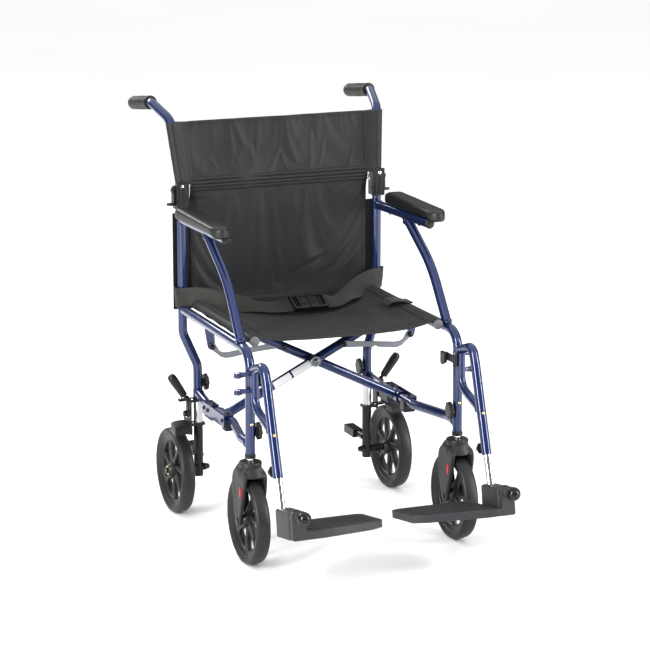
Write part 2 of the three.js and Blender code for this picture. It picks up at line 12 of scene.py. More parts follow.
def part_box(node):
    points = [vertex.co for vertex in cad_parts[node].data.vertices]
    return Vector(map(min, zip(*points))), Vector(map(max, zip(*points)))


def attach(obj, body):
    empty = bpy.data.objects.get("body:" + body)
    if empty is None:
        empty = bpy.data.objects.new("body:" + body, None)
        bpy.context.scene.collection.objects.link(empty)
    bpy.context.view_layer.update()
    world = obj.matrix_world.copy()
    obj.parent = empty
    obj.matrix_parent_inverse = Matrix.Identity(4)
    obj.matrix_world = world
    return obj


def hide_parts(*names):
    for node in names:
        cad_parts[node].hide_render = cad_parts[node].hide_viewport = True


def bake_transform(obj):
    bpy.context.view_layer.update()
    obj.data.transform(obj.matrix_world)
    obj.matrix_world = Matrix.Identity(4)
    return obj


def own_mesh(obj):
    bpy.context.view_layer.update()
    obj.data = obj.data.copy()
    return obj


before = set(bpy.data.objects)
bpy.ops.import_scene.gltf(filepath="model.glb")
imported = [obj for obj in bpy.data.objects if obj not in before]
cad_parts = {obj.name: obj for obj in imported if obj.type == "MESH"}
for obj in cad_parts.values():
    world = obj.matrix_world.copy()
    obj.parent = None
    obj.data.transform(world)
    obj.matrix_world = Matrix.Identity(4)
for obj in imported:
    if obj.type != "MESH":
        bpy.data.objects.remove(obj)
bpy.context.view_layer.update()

# ---- driving dimensions, in millimetres ----
MM = 0.001
TUBE = 11
SLIM_TUBE = 9.5
SIDES = (("right", 1), ("left", -1))
POST = {"x": 246, "y": 283, "top": 721.5}
LEG = {"x": 216, "y": 267, "top": 290, "bottom": 81}
FRONT_POST = {"x": 251, "y": -183, "bottom": 254.3}
SIDE_RAIL_Z = 486
LOWER_RAIL_Z = 278
AXLE_Z = 100.73
WHEEL_RADIUS = 100.7
REAR_WHEEL = {"x": 276, "y": 261}
CASTER_TRAIL = 12
CASTER_LEG = {"inner": 19.5, "outer": 27}
BRACE = {"x": 221.5, "foot": 275, "pivot": 386, "front": 69, "rear": 92}
SEAT_RAIL = {"z": 497, "front": -136, "rear": 264}
LINK = {"pin": (69.7, 421.0), "frame": (236, 431.5), "thick": 3}
ARM = {"x": 247, "rear_z": 698, "front_z": 707, "front_y": -27}
ARM_LENGTH = POST["y"] - ARM["front_y"]
HAND_SCREW_Z = 306
PAD = {"inner": 238, "outer": 286, "front": -52, "rear": 222, "top": 740}
CANE_PIVOT = (246, 289, 760)
CANE = {"foot": (246, 287, 786), "bend": (259, 314, 925)}
SLEEVE = {"bottom": 778, "top": 921}
STRIP_TOP = 709
GRIP = {"start": (277, 400, 956), "end": (277, 531, 937), "radius": 16.5, "length": 132}
SWING_PIN = {"x": 283, "y": -193, "upper": 437, "lower": 399}
SWING_GAP = 3.4  # the hanger's lugs sit this far above the frame's
HANGER = {"x": 248, "elbow": (-282, 436), "end": (-348, 244)}
FOOT = {"x": 248, "y": -374, "z": 173, "pitch": math.radians(10), "pin_x": 245}
SEAM_X = 219
BACK = {"bottom": 480, "fold": 776, "top": 922, "y": 297}
FRAME_OF = {1: "right_frame", -1: "left_frame"}

tyre_low, tyre_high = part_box("rear_tyre_right")
SHIFT = (tyre_low.y + tyre_high.y) / 2 / MM - REAR_WHEEL["y"]


# ---- mesh building ----
def full_turn(count):
    """The angles of evenly spaced points round a full turn."""
    return [2 * math.pi * k / count for k in range(count)]


def squared(value, power):
    """A power that keeps the sign. A power below 1 squares off a round section."""
    return math.copysign(abs(value) ** power, value)


def bent(corners, bend, steps=9):
    """Points along straight runs joined by round bends."""
    corners = [Vector(c) for c in corners]
    path = [corners[0]]
    for before, corner, after in zip(corners, corners[1:], corners[2:]):
        into = corner - before
        out = after - corner
        room = min(into.length, out.length) * 0.49
        into.normalize()
        out.normalize()
        turn = into.angle(out)
        reach = min(bend * math.tan(turn / 2), room)
        start = corner - into * reach
        radius = reach / math.tan(turn / 2)
        centre = corner + (out - into).normalized() * radius / math.cos(turn / 2)
        axis = into.cross(out).normalized()
        for k in range(steps + 1):
            path.append(centre + Matrix.Rotation(turn * k / steps, 3, axis) @ (start - centre))
    return path + [corners[-1]]


def smooth_line(points, per_span=6, closed=False):
    """A Catmull-Rom line through the points."""
    points = [Vector(p) for p in points]
    n = len(points)
    line = []
    for i in range(n if closed else n - 1):
        a, b, c, d = [points[(i + k) % n if closed else min(max(i + k, 0), n - 1)]
                      for k in (-1, 0, 1, 2)]
        for k in range(per_span):
            t = k / per_span
            line.append((2 * b + (c - a) * t + (2 * a - 5 * b + 4 * c - d) * t * t
                         + (3 * b - a - 3 * c + d) * t ** 3) / 2)
    return line if closed else line + [points[-1]]


def loft(bm, rings, caps=True, looped=False):
    """Joins rings of the same number of points."""
    made = [[bm.verts.new(p) for p in ring] for ring in rings]
    pairs = list(zip(made, made[1:]))
    if looped:
        pairs.append((made[-1], made[0]))
    for a, b in pairs:
        for i in range(len(a)):
            j = (i + 1) % len(a)
            bm.faces.new((a[i], a[j], b[j], b[i]))
    if caps and not looped:
        bm.faces.new(list(reversed(made[0])))
        bm.faces.new(made[-1])
    return bm


def frames_along(path):
    """A pair of directions square to the path at each point, turning as little as they can."""
    tangents = []
    for i in range(len(path)):
        before = path[max(i - 1, 0)]
        after = path[min(i + 1, len(path) - 1)]
        tangents.append((after - before).normalized())
    across = tangents[0].orthogonal().normalized()
    result = []
    for tangent in tangents:
        across = (across - tangent * across.dot(tangent)).normalized()
        result.append((across, tangent.cross(across)))
    return result


def sweep(bm, path, radius, sides=24, caps=True):
    """A round tube along a path. radius is one number, or one for each point."""
    radii = radius if isinstance(radius, (list, tuple)) else [radius] * len(path)
    rings = []
    for here, (u, v), r in zip(path, frames_along(path), radii):
        turn = full_turn(sides)
        rings.append([here + (u * math.cos(t) + v * math.sin(t)) * r for t in turn])
    return loft(bm, rings, caps)


def tube(bm, corners, bend, radius=TUBE, sides=28):
    return sweep(bm, bent(corners, bend), radius, sides)


def rod(bm, a, b, radius, sides=24, end_radius=None):
    end_radius = radius if end_radius is None else end_radius
    return sweep(bm, [Vector(a), Vector(b)], [radius, end_radius], sides)


def turned(bm, profile, base, axis, sides=64, looped=False):
    """A turned shape. profile is (radius, offset along the axis from base)."""
    axis = Vector(axis).normalized()
    u = axis.orthogonal().normalized()
    v = axis.cross(u)
    rings = []
    for radius, offset in profile:
        turn = full_turn(sides)
        middle = Vector(base) + axis * offset
        rings.append([middle + (u * math.cos(t) + v * math.sin(t)) * max(radius, 0.01) for t in turn])
    return loft(bm, rings, caps=not looped, looped=looped)


def prism(bm, outline, across, low, high):
    """An outline thickened along one axis: 'x' takes (y, z) points, 'y' (x, z) and 'z' (x, y)."""
    place = {"x": lambda p, d: (d, p[0], p[1]), "y": lambda p, d: (p[0], d, p[1]),
             "z": lambda p, d: (p[0], p[1], d)}[across]
    return loft(bm, [[Vector(place(p, d)) for p in outline] for d in (low, high)])


def block(bm, x0, x1, y0, y1, z0, z1):
    return prism(bm, [(x0, y0), (x1, y0), (x1, y1), (x0, y1)], "z", z0, z1)


def screw(bm, at, axis, radius=4.5, height=2.6):
    """A pan-head screw with a socket in it."""
    profile = [(radius, -0.5), (radius, height * 0.4), (radius * 0.8, height * 0.85),
               (radius * 0.5, height), (radius * 0.48, height), (radius * 0.44, height * 0.4),
               (0, height * 0.4)]
    return turned(bm, profile, at, axis, 20)


def rounded_outline(x0, x1, y0, y1, r, steps=5):
    points = []
    for cx, cy, start in ((x1 - r, y0 + r, -90), (x1 - r, y1 - r, 0), (x0 + r, y1 - r, 90),
                          (x0 + r, y0 + r, 180)):
        for k in range(steps + 1):
            t = math.radians(start + 90 * k / steps)
            points.append((cx + r * math.cos(t), cy + r * math.sin(t)))
    return points


# ---- materials ----
def new_finish(name, roughness, metallic=0.0, **sockets):
    made = bpy.data.materials.new(name)
    made.use_nodes = True
    shader = made.node_tree.nodes["Principled BSDF"]
    shader.inputs["Roughness"].default_value = roughness
    shader.inputs["Metallic"].default_value = metallic
    for socket, value in sockets.items():
        shader.inputs[socket.replace("_", " ")].default_value = value
    return made, made.node_tree, shader


def texture(tree, kind, scale, **settings):
    node = tree.nodes.new(kind)
    coordinates = tree.nodes.get("Object position")
    if coordinates is None:
        coordinates = tree.nodes.new("ShaderNodeTexCoord")
        coordinates.name = "Object position"
    tree.links.new(coordinates.outputs["Object"], node.inputs["Vector"])
    node.inputs["Scale"].default_value = scale
    for key, value in settings.items():
        if key in node.inputs:
            node.inputs[key].default_value = value
        else:
            setattr(node, key, value)
    return node


def colour_between(tree, shader, factor, low, high, start=0.3, stop=0.7):
    ramp = tree.nodes.new("ShaderNodeValToRGB")
    ramp.color_ramp.elements[0].position = start
    ramp.color_ramp.elements[0].color = (*low, 1)
    ramp.color_ramp.elements[1].position = stop
    ramp.color_ramp.elements[1].color = (*high, 1)
    tree.links.new(factor, ramp.inputs["Fac"])
    tree.links.new(ramp.outputs["Color"], shader.inputs["Base Color"])


def roughness_between(tree, shader, factor, low, high):
    spread = tree.nodes.new("ShaderNodeMapRange")
    spread.inputs["To Min"].default_value = low
    spread.inputs["To Max"].default_value = high
    tree.links.new(factor, spread.inputs["Value"])
    tree.links.new(spread.outputs["Result"], shader.inputs["Roughness"])


def bump(tree, shader, height, distance, strength=1.0, socket="Normal"):
    node = tree.nodes.new("ShaderNodeBump")
    node.inputs["Strength"].default_value = strength
    node.inputs["Distance"].default_value = distance
    tree.links.new(height, node.inputs["Height"])
    tree.links.new(node.outputs["Normal"], shader.inputs[socket])


def paint_finish():
    """Metallic blue powder coat under a clear coat, with flakes and a faint orange peel."""
    made, tree, shader = new_finish("blue_paint", 0.3, 0.35, Coat_Weight=1.0, Coat_Roughness=0.03)
    flakes = texture(tree, "ShaderNodeTexVoronoi", 1800)
    colour_between(tree, shader, flakes.outputs["Color"], (0.004, 0.013, 0.062), (0.008, 0.026, 0.125),
                   0.2, 0.8)
    peel = texture(tree, "ShaderNodeTexNoise", 160, Detail=2.0)
    bump(tree, shader, peel.outputs["Fac"], 0.0001, 0.12, "Coat Normal")
    return made


def plastic_finish(name, low, high, roughness, grain, depth, grain_kind="ShaderNodeTexNoise"):
    """Moulded plastic or rubber with a fine grain and a slow change of shade."""
    made, tree, shader = new_finish(name, roughness)
    shade = texture(tree, "ShaderNodeTexNoise", 14, Detail=4.0)
    colour_between(tree, shader, shade.outputs["Fac"], low, high)
    surface = texture(tree, grain_kind, grain)
    height = surface.outputs["Fac" if grain_kind == "ShaderNodeTexNoise" else "Distance"]
    bump(tree, shader, height, depth, 0.5)
    scuffs = texture(tree, "ShaderNodeTexNoise", 40, Detail=6.0, Roughness=0.7)
    roughness_between(tree, shader, scuffs.outputs["Fac"], roughness - 0.1, roughness + 0.1)
    return made


def metal_finish(name, colour, roughness, stretch=(1, 1, 1), depth=0.00002):
    """Bare or plated metal with fine lines."""
    made, tree, shader = new_finish(name, roughness, 1.0)
    lines = texture(tree, "ShaderNodeTexNoise", 300, Detail=3.0)
    mapping = tree.nodes.new("ShaderNodeMapping")
    mapping.inputs["Scale"].default_value = stretch
    tree.links.new(tree.nodes["Object position"].outputs["Object"], mapping.inputs["Vector"])
    tree.links.new(mapping.outputs["Vector"], lines.inputs["Vector"])
    tint = [c * 0.9 for c in colour]
    colour_between(tree, shader, lines.outputs["Fac"], tint, colour)
    bump(tree, shader, lines.outputs["Fac"], depth, 0.4)
    return made


def cloth_finish(name, low, high, pitch, depth, along=("X", "Z"), sheen=0.04):
    """Woven cloth: two crossing sets of threads, with slow changes of shade."""
    made, tree, shader = new_finish(name, 0.6, Sheen_Weight=sheen, Sheen_Roughness=0.5,
                                    Specular_IOR_Level=0.36)
    shade = texture(tree, "ShaderNodeTexNoise", 9, Detail=5.0)
    colour_between(tree, shader, shade.outputs["Fac"], low, high, 0.25, 0.75)
    bands_per_scale = 0.314
    heights = []
    for direction in along:
        threads = texture(tree, "ShaderNodeTexWave", bands_per_scale / (pitch * MM))
        threads.bands_direction = direction
        threads.inputs["Distortion"].default_value = 0.6
        heights.append(threads.outputs["Fac"])
    woven = tree.nodes.new("ShaderNodeMath")
    woven.operation = "MAXIMUM"
    tree.links.new(heights[0], woven.inputs[0])
    tree.links.new(heights[1], woven.inputs[1])
    bump(tree, shader, woven.outputs[0], depth, 0.5)
    roughness_between(tree, shader, shade.outputs["Fac"], 0.46, 0.58)
    return made


CELLS = "ShaderNodeTexVoronoi"
FINISHES = {"blue": (paint_finish(), "blue_frame")}
# finish, slot, material, two shades in thousandths, roughness, grain scale and depth, kind of grain
PLASTICS = (
    ("black", "black_plastic", "black_plastic", (8, 8, 9), (15, 15, 16), 0.36, 900, 80e-6),
    ("fork", "black_plastic", "fork_plastic", (13, 13, 14), (22, 22, 22), 0.48, 1100, 100e-6),
    ("black_steel", "black_steel", "black_steel", (6, 6, 7), (11, 11, 12), 0.26, 500, 40e-6),
    ("pad", "pad", "pad_foam", (9, 9, 9), (16, 16, 15), 0.4, 1400, 120e-6, CELLS),
    ("tyre", "tyre", "tyre_rubber", (11, 11, 11), (20, 19, 19), 0.46, 700, 80e-6),
    ("wheel", "wheel_plastic", "wheel_plastic", (10, 10, 10), (18, 17, 16), 0.36, 900, 80e-6),
    ("footrest", "footrest_plastic", "footrest_plastic", (26, 27, 30), (40, 41, 44), 0.52, 1300, 100e-6),
    ("plate", "footrest_plastic", "plate_texture", (22, 23, 26), (40, 41, 44), 0.58, 420, 400e-6, CELLS),
    ("grip", "grip_rubber", "grip_rubber", (18, 18, 17), (30, 29, 27), 0.42, 1000, 200e-6),
    ("cap", "link_steel", "cap_plastic", (100, 100, 110), (140, 140, 150), 0.45, 900, 50e-6),
    ("gloss", "black_plastic", "buckle_plastic", (3, 3, 3), (6, 6, 6), 0.24, 500, 20e-6),
    ("red", "black_plastic", "red_inset", (500, 12, 16), (660, 20, 20), 0.35, 600, 50e-6),
    ("label", "link_steel", "blank_label", (720, 720, 730), (800, 800, 800), 0.45, 300, 20e-6),
)
# finish, slot, material, shade in thousandths, roughness, stretch and depth of the lines
METALS = (
    ("chrome", "chrome", "chrome_plate", (860, 870, 890), 0.07),
    ("steel", "link_steel", "link_steel", (240, 250, 270), 0.36, (1, 40, 40), 40e-6),
    ("silver", "link_steel", "silver_sleeve", (720, 730, 740), 0.28, (30, 30, 1)),
    ("brass", "link_steel", "brass_button", (800, 600, 250), 0.25),
)
# finish, slot, material, two shades in thousandths, pitch and depth of the threads, axes, sheen
CLOTHS = (
    ("cloth", "fabric", "charcoal_nylon", (15, 15, 17), (23, 23, 25), 0.7, 100e-6),
    ("seat", "fabric", "seat_nylon", (16, 16, 16), (24, 24, 23), 0.7, 100e-6, ("X", "Y")),
    ("thread", "fabric", "stitch_thread", (8, 8, 9), (13, 13, 14), 0.5, 100e-6),
    ("webbing", "webbing", "webbing", (14, 14, 12), (25, 24, 20), 1.6, 300e-6, ("X", "Y"), 0.1),
)
for maker, shades, rows in ((plastic_finish, 2, PLASTICS), (metal_finish, 1, METALS),
                            (cloth_finish, 2, CLOTHS)):
    for finish, slot, material, *look in rows:
        look[:shades] = [tuple(c / 1000 for c in shade) for shade in look[:shades]]
        FINISHES[finish] = (maker(material, *look), slot)


def make(name, bm, finish, body, side=1, bevel=0.0, segments=2, nodes=(), crease=38, subdivide=0):
    """Turns a mesh in millimetres into a finished piece that rides on a body."""
    bmesh.ops.remove_doubles(bm, verts=bm.verts, dist=1e-3)
    for v in bm.verts:
        v.co = Vector((v.co.x * side, v.co.y + SHIFT, v.co.z)) * MM
    bmesh.ops.recalc_face_normals(bm, faces=bm.faces)
    mesh = bpy.data.meshes.new(name)
    bm.to_mesh(mesh)
    bm.free()
    mesh.shade_smooth()
    mesh.set_sharp_from_angle(angle=math.radians(crease))
    piece = bpy.data.objects.new(name, mesh)
    bpy.context.scene.collection.objects.link(piece)
    surface, slot = FINISHES[finish]
    mesh.materials.append(surface)
    if bevel:
        edges = piece.modifiers.new("rounded edges", "BEVEL")
        edges.width = bevel * MM
        edges.segments = segments
        edges.limit_method = "ANGLE"
        edges.angle_limit = math.radians(40)
        edges.harden_normals = True
    if subdivide:
        finer = piece.modifiers.new("finer", "SUBSURF")
        finer.levels = subdivide
        finer.render_levels = subdivide
    if body:
        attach(piece, body)
    if nodes:
        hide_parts(*nodes)
    return piece


# ---- side frames ----
def swing_lug(bm, z):
    away = Vector((SWING_PIN["x"] - FRONT_POST["x"], SWING_PIN["y"] - FRONT_POST["y"], 0))
    post = Vector((FRONT_POST["x"], FRONT_POST["y"], z))
    sweep(bm, bent([post, post + away * 0.45 + Vector((0, 3, 0)), post + away * 0.82], 12), 5, 16)
    turned(bm, [(4.4, -3), (9, -3), (9, 3), (4.4, 3)], post + away, (0, 0, 1), 32, looped=True)


def side_frame(name, side):
    body = FRAME_OF[side]
    bm = bmesh.new()
    tube(bm, [(POST["x"], POST["y"], POST["top"]), (POST["x"], POST["y"], 425), (LEG["x"], LEG["y"], 348),
              (LEG["x"], LEG["y"], LEG["top"])], 45)
    make(f"post_tube_{name}", bm, "blue", body, side, nodes=[f"rear_post_{name}"])

    bm = bmesh.new()
    tube(bm, [(POST["x"], POST["y"] - 6, SIDE_RAIL_Z - 3),
              (FRONT_POST["x"] - 1, FRONT_POST["y"], SIDE_RAIL_Z + 1),
              (FRONT_POST["x"], FRONT_POST["y"], FRONT_POST["bottom"])], 42)
    swing_lug(bm, SWING_PIN["upper"])
    swing_lug(bm, SWING_PIN["lower"])
    make(f"side_tube_{name}", bm, "blue", body, side, nodes=[f"seat_side_tube_{name}"])

    bm = bmesh.new()
    tab_low, tab_high = link_tab_span(side)
    x, z = LINK["frame"]
    outline = [(x - 8, z + 2), (x - 6, z - 6), (x, z - 9), (x + 7, z - 6), (x + 10, z),
               (FRONT_POST["x"] + 3, 479), (x - 6, 479)]
    prism(bm, outline, "y", tab_low, tab_high)
    make(f"link_tab_{name}", bm, "blue", body, side, bevel=0.6)

    bm = bmesh.new()
    tube(bm, [(LEG["x"] + 1, LEG["y"] - 3, LOWER_RAIL_Z + 5), (BRACE["x"], 190, BRACE["foot"]),
              (BRACE["x"], 5, BRACE["foot"]), (FRONT_POST["x"], -128, LOWER_RAIL_Z),
              (FRONT_POST["x"], FRONT_POST["y"], LOWER_RAIL_Z)], 60)
    make(f"lower_tube_{name}", bm, "blue", body, side, nodes=[f"lower_rail_{name}"])
    saddles(name, side, body)

    bm = bmesh.new()
    tube(bm, [(ARM["x"], POST["y"] - 6, ARM["rear_z"]), (ARM["x"], ARM["front_y"], ARM["front_z"])], 1)
    tube(bm, [(ARM["x"], 105, 698), (ARM["x"] + 1, -38, 612), (ARM["x"] + 2.6, -127, 492)], 260)
    make(f"arm_tube_{name}", bm, "blue", body, side, nodes=[f"arm_frame_{name}"])

    welds(name, side, body)
    arm_pad(name, side, body)
    frame_fasteners(name, side, body)


def link_tab_span(side):
    front = BRACE["front"] - TUBE - 0.6 - LINK["thick"]
    rear = BRACE["rear"] + TUBE + 0.6
    low = front - LINK["thick"] - 0.6 if side > 0 else rear + LINK["thick"] + 0.6
    return low, low + LINK["thick"]


def bead(bm, centre, axis, radius, width=2.2):
    """A weld bead: a ring round a tube, a little lumpy."""
    axis = Vector(axis).normalized()
    u = axis.orthogonal().normalized()
    v = axis.cross(u)
    rings = []
    for t in full_turn(40):
        out = u * math.cos(t) + v * math.sin(t)
        middle = Vector(centre) + out * radius
        size = width * (1 + 0.18 * math.sin(13 * t))
        rings.append([middle + (out * math.cos(a) + axis * math.sin(a)) * size for a in full_turn(8)])
    loft(bm, rings, looped=True)


def welds(name, side, body):
    bm = bmesh.new()
    bead(bm, (POST["x"], POST["y"] - TUBE + 1, SIDE_RAIL_Z - 3), (0, 1, 0), TUBE)
    bead(bm, (ARM["x"], POST["y"] - TUBE + 1, ARM["rear_z"]), (0, 1, 0), TUBE)
    bead(bm, (ARM["x"] + 2.5, -122, 498), (0.02, -0.6, -0.8), TUBE)
    bead(bm, (ARM["x"], 96, 692), (0, -0.86, -0.5), TUBE)
    bead(bm, (FRONT_POST["x"], FRONT_POST["y"] + TUBE - 1, LOWER_RAIL_Z), (0, 1, 0), TUBE)
    bead(bm, (LEG["x"] + 1, LEG["y"] - TUBE, LOWER_RAIL_Z + 4), (0, 1, 0.1), TUBE)
    make(f"weld_beads_{name}", bm, "blue", body, side)


def saddles(name, side, body):
    """The two blocks that hold a brace sleeve on the lower rail, with their cover and bottom plate."""
    x, z = BRACE["x"], BRACE["foot"]
    bm = bmesh.new()
    for y0, y1 in ((20, 44), (118, 168)):
        block(bm, x - 15, x + 15, y0, y1, z - 21, z + 3)
    make(f"saddle_blocks_{name}", bm, "black", body, side, bevel=2.5, segments=3)
    bm = bmesh.new()
    block(bm, x + 15, x + 18.5, 20, 168, z - 15, z + 14)
    block(bm, x - 14, x + 14, 118, 168, z - 23.5, z - 21)
    block(bm, x - 14, x + 14, 20, 44, z - 23.5, z - 21)
    for y0, y1 in ((20, 44), (118, 168)):
        block(bm, x - 6, x + 16, y0, y1, z + 10.5, z + 13.5)
    make(f"saddle_plates_{name}", bm, "blue", body, side, bevel=1.1)
    bm = bmesh.new()
    for y in (32, 130, 156):
        screw(bm, (x + 18.5, y, z), (1, 0, 0), 5, 3)
        screw(bm, (x + 4, y, z + 13.5), (0, 0, 1), 4.5, 3)
    make(f"saddle_screws_{name}", bm, "black_steel", body, side)


def arm_pad(name, side, body):
    middle, half = (PAD["inner"] + PAD["outer"]) / 2, (PAD["outer"] - PAD["inner"]) / 2
    rings = []
    length = PAD["rear"] - PAD["front"]
    steps = 64
    for k in range(steps + 1):
        s = 0.5 - 0.5 * math.cos(math.pi * k / steps)
        y = PAD["front"] + length * s
        from_front, from_rear = y - PAD["front"], PAD["rear"] - y
        nose = math.sqrt(max(0.0, 1 - max(0.0, 1 - from_front / 36) ** 2))
        tail = math.sqrt(max(0.0, 1 - max(0.0, 1 - from_rear / 16) ** 2))
        width = half * max(0.10, nose) * (0.80 + 0.20 * tail)
        under = ARM["rear_z"] + (ARM["front_z"] - ARM["rear_z"]) * (POST["y"] - y) / ARM_LENGTH + TUBE + 0.6
        low = under if y > ARM["front_y"] else max(under - 8 * min(1, (ARM["front_y"] - y) / 10), 710)
        high = PAD["top"] - 9 * (1 - nose) ** 1.2 - 8 * (1 - tail)
        low = low + 8 * (1 - nose) ** 1.5
        centre_z, tall = (high + low) / 2, (high - low) / 2
        ring = []
        for t in full_turn(40):
            across, up = math.cos(t), math.sin(t)
            power = 0.62 if up > 0 else 0.38
            ring.append(Vector((middle + width * squared(across, 0.55), y,
                                centre_z + tall * squared(up, power))))
        rings.append(ring)
    piece = make(f"arm_cushion_{name}", loft(bmesh.new(), rings), "pad", body, side,
                 nodes=[f"arm_pad_{name}"], crease=60, subdivide=1)
    bm = bmesh.new()
    front = (ARM["x"], ARM["front_y"], ARM["front_z"])
    turned(bm, [(TUBE, -1), (TUBE + 0.4, 0), (TUBE + 0.4, 2), (TUBE - 2, 5), (0, 6)], front,
           (0, -1, 0.02), 32)
    for y in (30, 200):
        screw(bm, (ARM["x"], y, ARM["rear_z"] + 9 * (POST["y"] - y) / ARM_LENGTH - TUBE + 0.5),
              (0, 0, -1), 4.5)
    make(f"arm_plug_{name}", bm, "black", body, side)


def snap_button(name, body, side, at, axis):
    """The brass button that sets a telescoping tube."""
    profile = [(3.6, -1), (3.6, 1.2), (2.4, 2.4), (0, 2.8)]
    make(name, turned(bmesh.new(), profile, at, axis, 20), "brass", body, side)


def frame_fasteners(name, side, body):
    bm = bmesh.new()
    x, y, z = FRONT_POST["x"], FRONT_POST["y"], FRONT_POST["bottom"]
    turned(bm, [(TUBE - 1, 4), (TUBE + 0.6, 2), (TUBE + 0.6, -1), (TUBE - 0.4, -1.6), (TUBE + 0.6, -2.2),
                (8, -2.2)], (x, y, z), (0, 0, 1), 32)
    for z_at in (505, 600, 708):
        screw(bm, (POST["x"] + 6, POST["y"] + 16.5, z_at), (0, 1, 0), 4)
    screw(bm, (POST["x"] - 4, POST["y"] - TUBE + 0.4, 712), (0, -1, 0), 3.4, 2)
    make(f"frame_fasteners_{name}", bm, "black_steel", body, side)
    snap_button(f"post_button_{name}", body, side, (x, y - TUBE + 0.3, 324), (0, -1, 0))
    bm = bmesh.new()
    x, z = LINK["frame"]
    tab_low, tab_high = link_tab_span(side)
    span = (tab_low - 1, tab_high + 5.5) if side > 0 else (tab_low - 5.5, tab_high + 1)
    rod(bm, (x, span[0], z), (x, span[1], z), 3.8, 16)
    turned(bm, [(6.5, 0), (6.5, 2.5), (4, 4), (0, 4)], (x, span[0], z), (0, -1, 0), 6)
    make(f"link_bolt_{name}", bm, "black_steel", body, side)


# ---- rear legs and wheels ----
def rear_leg(name, side):
    body = FRAME_OF[side]
    x, y = LEG["x"], LEG["y"]
    bm = bmesh.new()
    rod(bm, (x, y, 204), (x, y, LEG["bottom"]), TUBE, 28)
    rod(bm, (x, y, LEG["top"]), (x, y, 268), TUBE + 0.5, 28)
    turned(bm, [(TUBE - 2, 0.1), (TUBE - 0.5, -2.5), (0, -3)], (x, y, LEG["bottom"]), (0, 0, 1), 28)
    rod(bm, (x - 6, y + 2, 128), (x - 9, 318, 129), 8)
    make(f"leg_tube_{name}", bm, "black_steel", body, side, nodes=[f"rear_leg_{name}"])

    bm = bmesh.new()
    for z in (262, 204):
        prism(bm, [(x - 15, y - 10), (x - 9, y - 16), (x + 24, y - 16), (x + 24, y + 2), (262, y + 2),
                   (262, y + 14), (x - 9, y + 14), (x - 15, y + 8)], "z", z, z + 6)
    block(bm, 236, 240, y - 14, y + 12, 200, 268)
    make(f"leg_clamps_{name}", bm, "black", body, side, bevel=1.5)

    bm = bmesh.new()
    rod(bm, (x, y, 262), (x, y, 210), TUBE + 0.4, 28)
    for z in (268, 210):
        screw(bm, (x + 18, y - 10, z), (0, 0, 1), 3.6)
        screw(bm, (256, y + 8, z), (0, 0, 1), 3.6)
    make(f"leg_sleeve_{name}", bm, "silver", body, side)

    bm = bmesh.new()
    axle_y = REAR_WHEEL["y"]
    rod(bm, (x - 16, axle_y, AXLE_Z), (REAR_WHEEL["x"] + 22, axle_y, AXLE_Z), 5)
    rod(bm, (x + TUBE - 2, axle_y, AXLE_Z), (REAR_WHEEL["x"] - 20.5, axle_y, AXLE_Z), 8.5)
    turned(bm, [(8.5, 0), (8.5, 5), (7, 7), (6.5, 12), (3, 15), (0, 15.5)], (x - TUBE + 1, axle_y, AXLE_Z),
           (-1, 0, 0), 24)
    turned(bm, [(8, 0), (8, 3), (6.5, 4.2), (0, 4.2)], (REAR_WHEEL["x"] + 20.6, axle_y, AXLE_Z), (1, 0, 0),
           6)
    make(f"rear_axle_{name}", bm, "black_steel", body, side, bevel=0.4)

    bm = bmesh.new()
    block(bm, x - 22, x + 3, 300, 359, 119, 139)
    for k in range(6):
        block(bm, x - 20.5, x + 1.5, 306 + 9 * k, 310 + 9 * k, 138, 140.6)
    make(f"tip_pedal_{name}", bm, "black", body, side, bevel=2.2, segments=3)

    wheel(f"rear_{name}", side, REAR_WHEEL["x"], REAR_WHEEL["y"], 20, f"rear_wheel_{name}",
          [f"rear_rim_{name}"], [f"rear_tyre_{name}"])


